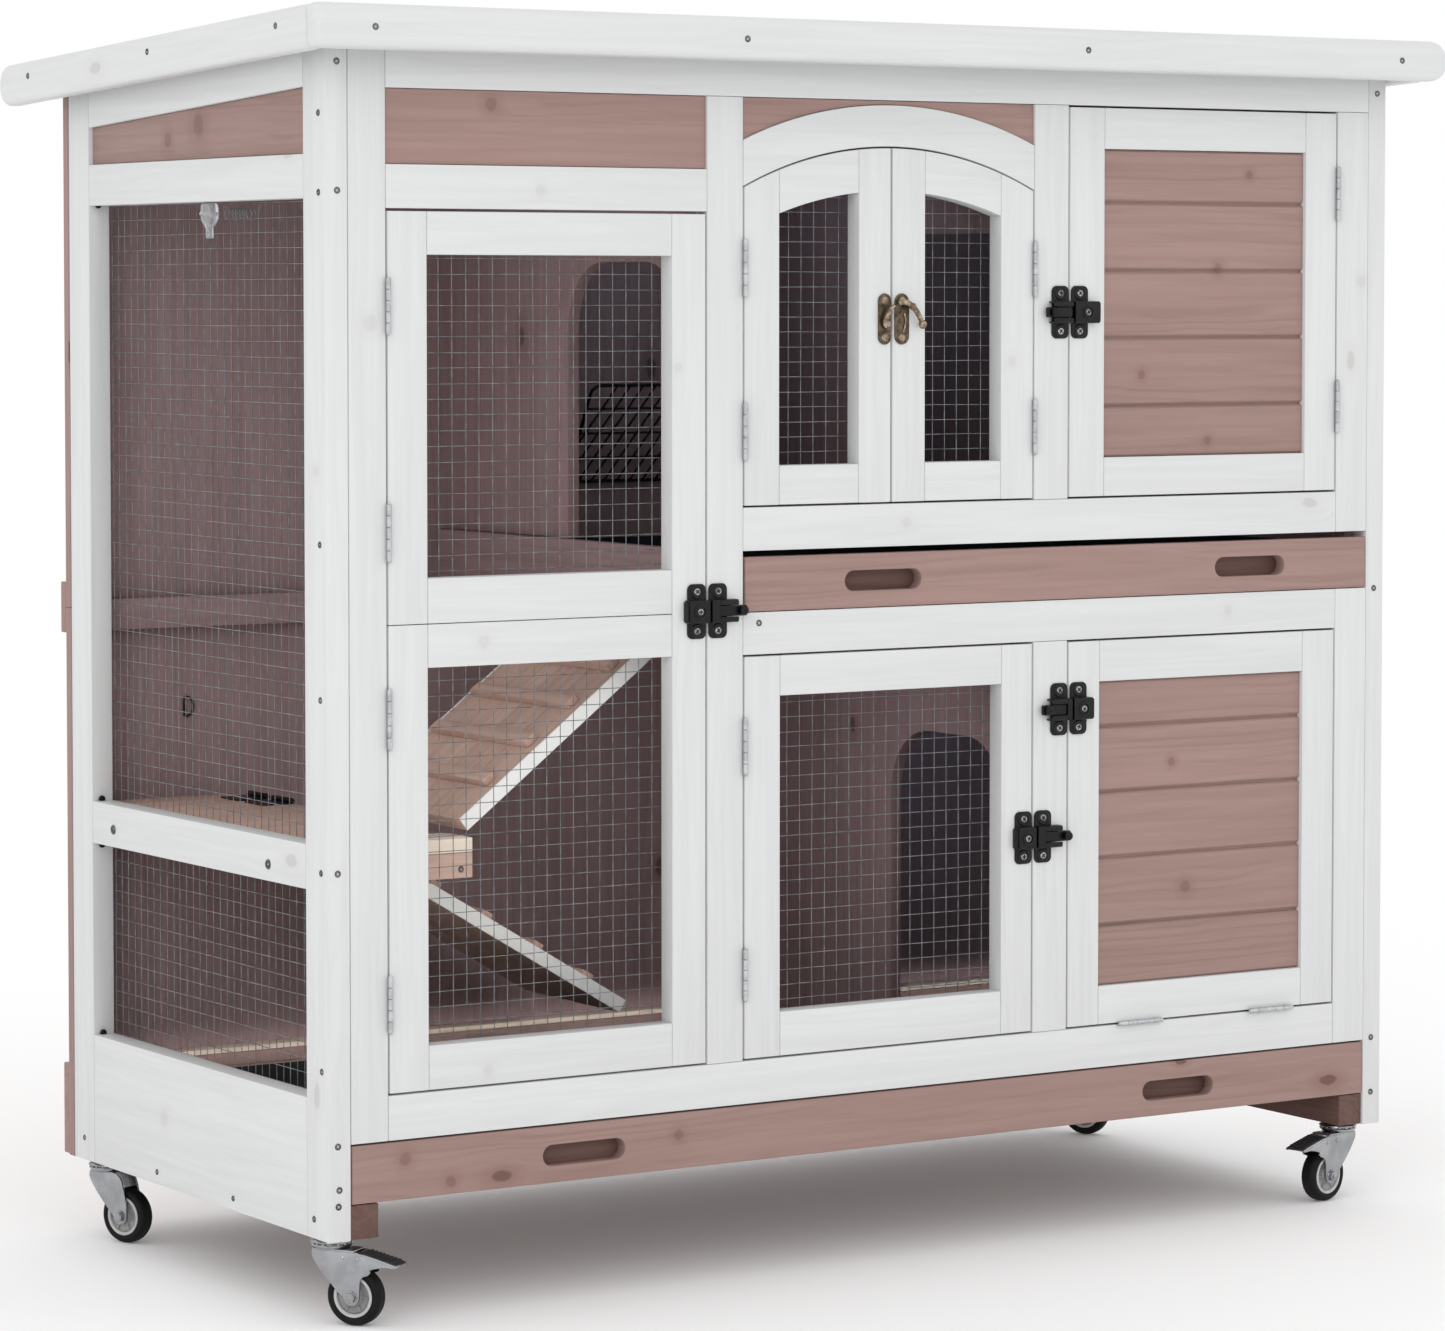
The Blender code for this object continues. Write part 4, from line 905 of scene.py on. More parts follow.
# ------------------------------------------------------------------ ramps
def ramp_boards(name, body, node_name, foot, angle, length, ys, cleats, top):
    piece = Piece(name, body, "raw_wood", [RAW, CREAM_PAINTED_LIGHT, STRIP_PAINTED_LIGHT], [node_name])
    place = Matrix.Translation((foot[0], 0.0, foot[1])) @ Matrix.Rotation(-math.radians(angle), 4, "Y")
    planks = 4
    width = (ys[1] - ys[0] - 3.4) / planks
    for i in range(planks):
        a = ys[0] + 1.7 + i * width
        piece.add(block((4.0, a + .1, top - 12.0), (length, a + width - .1, top), 0.8), place, grain="XY", local=True)
    for c in cleats:
        piece.add(block((c - 6.0, ys[0] + 12.0, top + .1), (c + 6.0, ys[1] - 12.0, top + 7.0), 1.0), place, grain="YX", local=True)
    # edge strips in the brightened white: painted light
    for y in (ys[0], ys[1] - 1.6):
        piece.add(block((4.0, y, top - 12.0), (length, y + 1.6, top + .6), 0.5), place, grain="X", local=True, mat=2)
    piece.make()


ramp_boards("upper_ramp_boards", "upper_ramp", "upper_ramp", (150.5, 317.5), 37.2, 256.0, (45.0, 232.0), (50, 100, 150, 200), 12.0)
ramp_boards("lower_ramp_boards", "lower_ramp", "lower_ramp", (151.0, 303.0), -30.7, 340.0, (272.0, 442.0), (60, 120, 180, 240, 300), 0.0)

# ------------------------------------------------------------------ roof
LID_Z, LID_Y = (-20.5, 15.3), (-542.5, -524.3, 61.5)
deck = Piece("roof_deck_boards", "roof", "roof_felt", [WHITE, FELT], ["roof_deck"])
for i in range(6):
    a = -524.0 + i * 584.0 / 6
    deck.add(block((-559.7, a + .2, 0.3), (548.0, a + 584.0 / 6 - .2, 9.6), 0.8), LID, grain="XY", local=True)
felt_sheet = bmesh.new()
nx, ny = 60, 34
grid = [[None] * (nx + 1) for _ in range(ny + 1)]
wob = random.Random(5)
phase = [wob.uniform(0, 6.28) for _ in range(8)]
for j in range(ny + 1):
    for i in range(nx + 1):
        x = -559.5 + 1107.3 * i / nx
        y = -523.8 + 583.6 * j / ny
        ripple = 0.16 * (math.sin(x / 61 + phase[0] + 0.7 * math.sin(y / 90 + phase[1])) + math.sin(y / 47 + phase[2] + x / 210))
        lap = 0.7 if y > -240 else 0.0
        lap2 = 0.7 if y > 40 else 0.0
        grid[j][i] = felt_sheet.verts.new((x, y, 10.7 + ripple + min(lap + lap2, 0.9)))
for j in range(ny):
    for i in range(nx):
        felt_sheet.faces.new((grid[j][i], grid[j][i + 1], grid[j + 1][i + 1], grid[j + 1][i]))
rim = ([grid[0][i] for i in range(nx + 1)] + [grid[j][nx] for j in range(1, ny + 1)]
       + [grid[ny][i] for i in range(nx - 1, -1, -1)] + [grid[j][0] for j in range(ny - 1, 0, -1)])
low = [felt_sheet.verts.new((v.co.x, v.co.y, 9.8)) for v in rim]
for i in range(len(rim)):
    j = (i + 1) % len(rim)
    felt_sheet.faces.new((rim[i], rim[j], low[j], low[i]))
felt_sheet.faces.new(low)
bmesh.ops.recalc_face_normals(felt_sheet, faces=felt_sheet.faces)
deck.add(felt_sheet, LID, mat=1, smooth=True)
deck.make()


def bullnose(u0, u1, v0, v1, both=False, n=10):
    r = (v1 - v0) / 2 - 0.6
    pts = []
    for cv, start in ((v0 + r, -90), (v1 - r, 0)):
        for i in range(n + 1):
            a = math.radians(start + 90 * i / n)
            pts.append((u1 - r + r * math.cos(a), cv + r * math.sin(a)))
    if both:
        for cv, start in ((v1 - r, 90), (v0 + r, 180)):
            for i in range(n + 1):
                a = math.radians(start + 90 * i / n)
                pts.append((u0 + r + r * math.cos(a), cv + r * math.sin(a)))
        return pts
    return [(u0, v1), (u0, v0)] + pts


trim = Piece("roof_trim_boards", "roof", "white_wood", [WHITE], ["roof_front_trim", "roof_left_trim", "roof_right_trim"])
trim.add(prism(bullnose(-578.0, 578.0, *LID_Z), LID_Y[0], LID_Y[1], "xz", 6.0, 5), LID, grain="X", local=True)
for x in (-569.0, 557.4):
    trim.add(prism(bullnose(LID_Y[1] + .25, LID_Y[2], *LID_Z), x - 8.4, x + 8.6, "yz", 6.0, 5), LID, grain="Y", local=True)
trim.make()

# ------------------------------------------------------------------ door hinges
def hinge(name, door_body, at, span, axis="Z", leaf=1.0):
    """A small butt hinge seen as its knuckle; at is the pin line, span the length along it."""
    fixed = Piece(name + "_fixed", "hutch_body", "bright_steel", [STEEL])
    swing = Piece(name + "_swing", door_body, "bright_steel", [STEEL])
    a, b = span
    n = 5
    step = (b - a) / n
    for i in range(n):
        lo, hi = a + i * step + .15, a + (i + 1) * step - .15
        prof = [(0.0, lo), (1.85, lo), (2.15, lo + .3), (2.15, hi - .3), (1.85, hi), (0.0, hi)]
        bm = lathe(prof, 14, "Z")
        if axis == "X":
            bmesh.ops.transform(bm, matrix=Matrix.Rotation(math.radians(90), 4, "Y"), verts=bm.verts)
            place = Matrix.Translation((0.0, at[0], at[1]))
        else:
            place = Matrix.Translation((at[0], at[1], 0.0))
        (fixed if i % 2 == 0 else swing).add(bm, place, smooth=True)
    for end, sign in ((a, -1), (b, 1)):
        bm = lathe([(0.0, 0.0), (1.5, 0.0), (1.3, 0.8 * sign), (0.0, 1.1 * sign)], 12, "Z")
        if axis == "X":
            bmesh.ops.transform(bm, matrix=Matrix.Rotation(math.radians(90), 4, "Y"), verts=bm.verts)
            place = Matrix.Translation((end, at[0], at[1]))
        else:
            place = Matrix.Translation((at[0], at[1], end))
        fixed.add(bm, place, smooth=True)
    if axis == "Z":
        x, y = at
        fixed.add(block((x - .55 * leaf - .2, y + 1.2, a + .4), (x - .55 * leaf + .2, 13.0, b - .4), 0.1, 1))
        swing.add(block((x + .45 * leaf - .2, y + 1.2, a + .4), (x + .45 * leaf + .2, 13.0, b - .4), 0.1, 1))
    else:
        y, z = at
        fixed.add(block((a + .4, y + 1.2, z - .75), (b - .4, 13.0, z - .4), 0.1, 1))
        swing.add(block((a + .4, y + 1.2, z + .2), (b - .4, 13.0, z + .55), 0.1, 1))
    fixed.make()
    swing.make()


PIN = -2.5
for i, span in enumerate(((166, 212), (395, 444), (546, 593), (729, 774))):
    hinge("tall_door_hinge_%d" % i, "tall_door", (X_STILE[1] + .8, PIN), span)
for i, span in enumerate(((622, 670), (759, 807))):
    hinge("arch_left_hinge_%d" % i, "arch_left_door", (X_MID[1] + .8, PIN), span)
    hinge("arch_right_hinge_%d" % i, "arch_right_door", (X_DIV[0] - .8, PIN), span, leaf=-1.0)
for i, span in enumerate(((636, 683), (828, 876))):
    hinge("upper_right_hinge_%d" % i, "upper_right_door", (X_END[0] - .8, PIN), span, leaf=-1.0)
for i, span in enumerate(((166, 210), (357, 405))):
    hinge("lower_middle_hinge_%d" % i, "lower_middle_door", (X_MID[1] + .8, PIN), span)
for i, span in enumerate(((788, 836), (935, 984))):
    hinge("lower_right_hinge_%d" % i, "lower_right_door", (PIN, Z_RAIL_BOT[1] + .8), span, axis="X")

# roof hinges on the back wall
for i, x in enumerate((160.0, 545.0, 930.0)):
    fixed = Piece("roof_hinge_%d_wall" % i, "hutch_body", "bright_steel", [STEEL])
    swing = Piece("roof_hinge_%d_lid" % i, "roof", "bright_steel", [STEEL])
    for k in range(5):
        lo, hi = x - 25 + 10 * k + .15, x - 15 + 10 * k - .15
        bm = lathe([(0.0, lo), (0.8, lo), (0.95, lo + .3), (0.95, hi - .3), (0.8, hi), (0.0, hi)], 12, "Z")
        bmesh.ops.transform(bm, matrix=Matrix.Rotation(math.radians(90), 4, "Y"), verts=bm.verts)
        (fixed if k % 2 == 0 else swing).add(bm, Matrix.Translation((0.0, 493.75, 948.65)), smooth=True)
    leaf = cutout([rounded(x - 25, x + 25, 918.0, 946.0, 3.0)] + [circle(x + dx, 930.0, 2.0, 12) for dx in (-16, 0, 16)], 0.5, 0.2)
    fixed.add(leaf, Matrix.Translation((0, 493.0, 0)) @ Matrix.Rotation(math.radians(90), 4, "X"))
    fixed.make()
    leaf = cutout([rounded(x - CX - 25, x - CX + 25, 3.0, 30.0, 3.0)] + [circle(x - CX + dx, 18.0, 2.0, 12) for dx in (-16, 0, 16)], 0.4, 0.15)
    swing.add(leaf, LID @ Matrix.Translation((0, 0, -0.25)))
    swing.make()
    for dx in (-16, 0, 16):
        screw((x + dx, 493.5, 930.0), (0, 1, 0), 2.6)
        screw(LID @ Vector((x - CX + dx, 18.0, -0.65)), LID.to_3x3() @ Vector((0, 0, -1)), 2.6, body="roof")


# ------------------------------------------------------------------ slide latches
def latch(name, gap_x, z, side, door_body, bolt_body, bolt_node, bolt_x, knob_x, stile_len, door_len, slot=9.0, bright=None):
    """Black butterfly latch: a plate and channel on the stile, a keeper on the door, a flat bolt with a knob."""
    def X(t):
        return gap_x + side * t

    def plate(piece, t0, t1):
        a, b = sorted((X(t0), X(t1)))
        place = Matrix.Translation((0, -0.8, z)) @ Matrix.Rotation(math.radians(90), 4, "X")
        shape = rounded(a, b, -23.0, 23.0, 5.0, 6)
        piece.add(cutout([shape], 0.75, 0.5, 2), place, smooth=False)
        for v in (-16.5, 16.5):
            place = Matrix.Translation(((a + b) / 2, -1.5, z + v)) @ Matrix.Rotation(math.radians(90), 4, "X")
            piece.add(lathe([(6.4, -0.4), (6.2, 0.3), (5.4, 0.8), (4.1, 0.45), (0.0, 0.4)], 20), place, smooth=True)

    def channel(piece, t0, t1, slot=None):
        a, b = sorted((X(t0), X(t1)))
        n = 6
        prof = [(-9.6, -0.2), (-9.6, -6.6)]
        for i in range(n + 1):
            q = math.radians(180 + 90 * i / n)
            prof.append((-7.9 + 1.7 * math.cos(q), -6.9 + 1.7 * math.sin(q)))
        for i in range(n + 1):
            q = math.radians(270 + 90 * i / n)
            prof.append((7.9 + 1.7 * math.cos(q), -6.9 + 1.7 * math.sin(q)))
        prof += [(9.6, -6.6), (9.6, -0.2), (8.2, -0.2), (8.2, -6.4), (7.4, -7.2), (-7.4, -7.2), (-8.2, -6.4), (-8.2, -0.2)]
        if slot is None:
            piece.add(prism([(y, z + v) for v, y in prof], a, b, "yz", 0.35, 1), smooth=False)
            far = X(t1)
            piece.add(block((min(far, far - side * 1.3), -7.6, z - 8.3), (max(far, far - side * 1.3), -0.2, z + 8.3), 0.4))
        else:
            for sign in (-1, 1):
                half = [(y, z + v) for v, y in
                        ([(4.9 * sign, -8.6), (7.9 * sign, -8.6), (9.1 * sign, -8.1), (9.6 * sign, -6.9), (9.6 * sign, -0.2),
                          (8.2 * sign, -0.2), (8.2 * sign, -6.4), (7.4 * sign, -7.2), (4.9 * sign, -7.2)])]
                piece.add(prism(half, *sorted((X(slot[0]), X(t1))), "yz", 0.3, 1))
            if slot[0] - t0 > 2.0:
                root = [(y, z + v) for v, y in prof]
                piece.add(prism(root, *sorted((X(t0), X(slot[0] - .05))), "yz", 0.35, 1))

    fixed = Piece(name + "_plate", "hutch_body", "black_metal", [BLACK])
    plate(fixed, 1.3, 19.5)
    channel(fixed, 0.9, stile_len, slot=(slot, stile_len))
    fixed.make()
    keeper = Piece(name + "_keeper", door_body, "black_metal", [BLACK])
    plate(keeper, -1.3, -19.5)
    channel(keeper, -1.2, -door_len)
    place = Matrix.Translation((X(-door_len * 0.52), -8.5, z)) @ Matrix.Rotation(math.radians(90), 4, "X")
    keeper.add(cutout([stadium(0, 0, 14.0, 12.6, 8)], 0.35, 0.25), place)
    mid_fixed, mid_keep = X(10.4), X(-10.4)
    for v in (-16.5, 16.5):
        screw((mid_fixed, -1.9, z + v), FRONT, 3.3, look=GLINT)
        screw((mid_keep, -1.9, z + v), FRONT, 3.3, body=door_body, look=GLINT)
    screw((X(-door_len * 0.52), -8.9, z), FRONT, 3.1, body=door_body, look=bright or GLINT)
    rim = Matrix.Translation((X(-door_len * 0.52), -8.6, z)) @ Matrix.Rotation(math.radians(90), 4, "X")
    keeper.add(lathe([(4.4, 0.0), (5.6, 0.0), (5.5, 0.7), (5.0, 1.0), (4.5, 0.7)], 26, closed=True), rim, smooth=True)
    keeper.make()
    bolt = Piece(name + "_bolt", bolt_body, "black_metal", [BLACK], [bolt_node])
    a, b = bolt_x
    place = Matrix.Translation((0, -5.25, z)) @ Matrix.Rotation(math.radians(90), 4, "X")
    bolt.add(cutout([rounded(a, b, -4.5, 4.5, 1.6, 4)], 1.7, 0.45, 2), place)
    knob = lathe([(2.6, 0.0), (2.6, 1.0), (3.4, 1.5), (4.1, 2.4), (4.15, 3.4), (3.5, 4.6), (2.2, 5.3), (1.1, 5.45), (1.0, 5.1), (0.0, 5.1)], 24)
    bolt.add(knob, Matrix.Translation((knob_x, -7.0, z)) @ Matrix.Rotation(math.radians(90), 4, "X"), smooth=True)
    bolt.make()


latch("tall_latch", 357.75, 496.5, 1, "tall_door", "tall_door_bolt", "tall_door_bolt", (361.0, 394.0), 389.0, 27.0, 21.5)
latch("upper_right_latch", 732.55, 745.5, -1, "upper_right_door", "upper_right_bolt", "upper_right_bolt",
      (704.5, 731.3), 711.5, 22.0, 27.5, slot=0.95)
latch("lower_right_latch", 732.55, 398.0, -1, "lower_right_door", "lower_right_bolt", "lower_right_bolt",
      (701.0, 731.3), 706.0, 23.0, 22.0, slot=5.9)
latch("lower_middle_latch", 694.45, 287.0, 1, "lower_middle_door", "lower_middle_bolt", "lower_middle_bolt",
      (697.0, 731.3), 726.5, 27.0, 20.0)

# ------------------------------------------------------------------ hook of the arched doors
for side, body, x0, x1 in (("left", "arch_left_door", 530.2, 543.4), ("right", "arch_right_door", 547.0, 562.0)):
    piece = Piece("arch_hook_plate_" + side, body, "antique_brass", [BRASS_DARK, BRASS])
    cx, w = (x0 + x1) / 2, x1 - x0
    place = Matrix.Translation((0, -0.8, 740.0)) @ Matrix.Rotation(math.radians(90), 4, "X")
    piece.add(cutout([rounded(x0, x1, -21.8, 21.8, w / 2 - .05, 8)], 0.75, 0.55, 3), place)
    for v in (-15.6, 15.6):
        piece.add(lathe([(3.4, -.2), (3.4, .4), (2.6, .9), (1.2, 1.1), (0.0, 1.15)], 18),
                  Matrix.Translation((cx, -1.4, 740.0 + v)) @ Matrix.Rotation(math.radians(90), 4, "X"), mat=1, smooth=True)
    if side == "left":
        horn = spline_path([(539.0, -2.2, 733.6), (535.4, -4.2, 734.0), (534.6, -5.4, 738.4), (536.6, -6.0, 743.8), (539.6, -6.2, 748.6),
                            (543.2, -6.2, 751.4)], 6)
        n = len(horn)
        piece.add(sweep(horn, [1.5 + .7 * math.sin(math.pi * i / (n - 1)) for i in range(n)], 10), mat=1, smooth=True)
        piece.add(lathe([(3.3, 0.0), (3.3, 1.8), (2.5, 2.9), (1.1, 3.3), (0.0, 3.35)], 18),
                  Matrix.Translation((539.0, -1.4, 736.0)) @ Matrix.Rotation(math.radians(90), 4, "X"), mat=1, smooth=True)
    else:
        tail = spline_path([(556.4, -1.9, 745.0), (557.6, -2.1, 739.0), (556.8, -2.1, 733.0), (555.2, -1.8, 728.0)], 6)
        piece.add(sweep(tail, 0.95, 10), mat=1, smooth=True)
        piece.add(lathe([(0.0, -.2), (1.7, -.2), (1.7, 4.4), (0.0, 4.4)], 16),
                  Matrix.Translation((560.2, -1.4, 750.5)) @ Matrix.Rotation(math.radians(90), 4, "X"), mat=1, smooth=True)
    piece.make()
hook = Piece("arch_hook_arm", "arch_door_hook", "antique_brass", [BRASS], ["arch_door_hook"])
arm = spline_path([(547.1, -6.7, 753.0), (551.0, -6.9, 754.2), (556.0, -6.9, 753.8), (561.0, -6.8, 751.2), (565.4, -6.6, 747.2),
                   (569.0, -6.4, 742.2), (571.4, -6.2, 738.2)], 6)
n = len(arm)
hook.add(sweep(arm, [2.0 + .55 * math.sin(math.pi * i / (n - 1)) for i in range(n)], 12), smooth=True)
ball = [(0.0, -3.9)] + [(3.9 * math.cos(math.radians(a)), 3.9 * math.sin(math.radians(a))) for a in range(-75, 90, 15)] + [(0.0, 3.9)]
hook.add(lathe(ball, 20), Matrix.Translation((572.6, -6.2, 735.4)), smooth=True)
hook.add(lathe([(3.2, 0.0), (3.2, 1.2), (2.4, 2.2), (0.0, 2.5)], 18),
         Matrix.Translation((561.5, -7.4, 750.5)) @ Matrix.Rotation(math.radians(90), 4, "X"), smooth=True)
hook.make()

# ------------------------------------------------------------------ wood screws
for x, z in ((20.2, 969.9), (368.1, 968.9), (717.3, 969.5), (1068.2, 968.9)):
    screw(LID @ Vector((x - CX, -542.5, -3.4)), (0, -1, 0), 2.9, body="roof")
for y in (492.6, 254.2, 21.2):
    screw(LID @ Vector((-577.4, y - 494.5, 2.0)), LEFT, 2.9, body="roof", sink=0.65)
    screw(LID @ Vector((566.0, y - 494.5, 2.0)), RIGHT, 2.9, body="roof")
for z in (905.2, 842.0, 561.0, 436.4, 297.5, 137.3, 16.1):
    screw((0, 11.5 if z > 30 else 25.7, z), LEFT)
    screw((W, 11.5 if z > 30 else 25.7, z), RIGHT)
for x, z in ((10.6, 946.0), (10.6, 843.6), (8.9, 297.5), (8.2, 77.7), (9.4, 42.4), (8.6, 29.0),
             (1079.2, 943.6), (1078.6, 493.0), (1078.5, 79.9), (1078.4, 29.5), (409.9, 484.7)):
    screw((x, 0, z), FRONT)
for y, z in ((397.0, 297.5), (104.0, 295.9)):
    screw((0, y, z), LEFT, 4.3, look=SCREW)
    screw((W, y, z + 178), RIGHT, 4.3, look=SCREW)
for y, z in ((459.3, 19.7), (314.5, 10.9), (170.4, 10.4)):
    screw((0, y, z), LEFT, 2.6)
    screw((W, y, z), RIGHT, 2.6)
screw((138.9, 30.0, 290.4), FRONT, 2.8)
for x in (12.0, 190.0, 370.0, 545.0, 720.0, 900.0, 1077.0):
    for z in (120.0, 300.0, 560.0, 740.0, 900.0):
        screw((x, BY[1], z), (0, 1, 0), 2.6)
    screw((x, BY[1] + 10.7, 40.0), (0, 1, 0), 2.8)
    screw((x, BY[1] + 10.7, 486.0), (0, 1, 0), 2.8)

# ------------------------------------------------------------------ small fittings
bottle = Piece("bottle_nozzle", "hutch_body", "zinc_mesh", [CLEAR, STEEL, ZINC])
bottle.add(lathe([(0.0, 836.5), (6.6, 836.5), (7.4, 834.5), (7.8, 828.0), (7.2, 822.5), (5.0, 818.5), (3.4, 815.5), (3.0, 811.0), (3.6, 809.0),
                  (2.6, 807.5), (0.0, 807.5)], 22), Matrix.Translation((10.6, 226.0, 0.0)), smooth=True)
bottle.add(lathe([(7.9, 829.4), (8.6, 829.0), (8.6, 827.2), (7.9, 826.8)], 22, closed=True), Matrix.Translation((10.6, 226.0, 0.0)), smooth=True)
coil = [(11.0 + 5.0 * math.cos(2 * math.pi * k / 12), 192.0 - 46.0 * k / 84, 827.0 + 5.0 * math.sin(2 * math.pi * k / 12)) for k in range(85)]
bottle.add(sweep([(12.0, 204.0, 836.0), (14.0, 198.0, 831.0)] + coil + [(14.0, 140.0, 831.0), (12.0, 134.0, 836.0)], 0.42, 6), mat=2, smooth=True)
bottle.make()

staple = Piece("wall_staple", "hutch_body", "black_metal", [DARKWIRE])
ringpts = [(108.6, 402.0), (108.6, 394.0), (108.6, 386.0), (112.0, 385.4), (116.4, 388.2), (117.8, 394.0), (116.4, 399.8), (112.0, 402.6)]
staple.add(sweep([(x, 478.4, z) for x, z in ringpts], 1.1, 8, True), smooth=True)
staple.add(sweep(spline_path([(108.6, 479.6, 397.0), (108.6, 476.8, 396.0), (108.6, 476.8, 392.0), (108.6, 479.6, 391.0)], 4), 0.9, 8), smooth=True)
staple.make()

strap = Piece("ramp_strap_hinge", "hutch_body", "black_metal", [BLACK])
for y0 in (345.0, 392.0):
    strap.add(cutout([rounded(118.0, 146.0, y0, y0 + 36.0, 3.0)], 0.6, 0.25), Matrix.Translation((0, 0, 316.7)))
    bm = lathe([(0.0, y0), (2.3, y0), (2.6, y0 + .4), (2.6, y0 + 35.6), (2.3, y0 + 36.0), (0.0, y0 + 36.0)], 14, "Z")
    bmesh.ops.transform(bm, matrix=Matrix.Rotation(math.radians(-90), 4, "X"), verts=bm.verts)
    strap.add(bm, Matrix.Translation((147.2, 0, 318.7)), smooth=True)
    for dy in (9.0, 27.0):
        screw((128.0, y0 + dy, 317.4), UP, 2.6, look=BLACK)
strap.make()
for y0 in (62.0, 178.0):
    strap = Piece("upper_ramp_hinge_%d" % int(y0), "hutch_body", "bright_steel", [STEEL])
    strap.add(cutout([rounded(118.0, 146.0, y0, y0 + 34.0, 3.0)], 0.5, 0.2), Matrix.Translation((0, 0, 316.6)))
    strap.make()
    for dy in (9.0, 25.0):
        screw((128.0, y0 + dy, 317.2), UP, 2.4)

notches = Piece("rail_dowel_caps", "hutch_body", "black_metal", [BLACK])
for z in (838.6, 320.4, 280.6, 114.8):
    notches.add(lathe([(0.0, -.6), (3.0, -.6), (3.0, .5), (2.4, 1.0), (0.0, 1.2)], 16),
                Matrix.Translation((8.0, 436.6, z)) @ Matrix.Rotation(math.radians(90), 4, "X"), smooth=True)
notches.make()

# ------------------------------------------------------------------ casters
CASTERS = {"front_left": (16.0, 26.0, -54.0, True), "front_right": (1060.0, 24.0, -168.0, True),
           "back_left": (16.0, 445.0, -66.0, False), "back_right": (1060.0, 445.0, -60.0, False)}
AXLE = (22.0, -46.0)


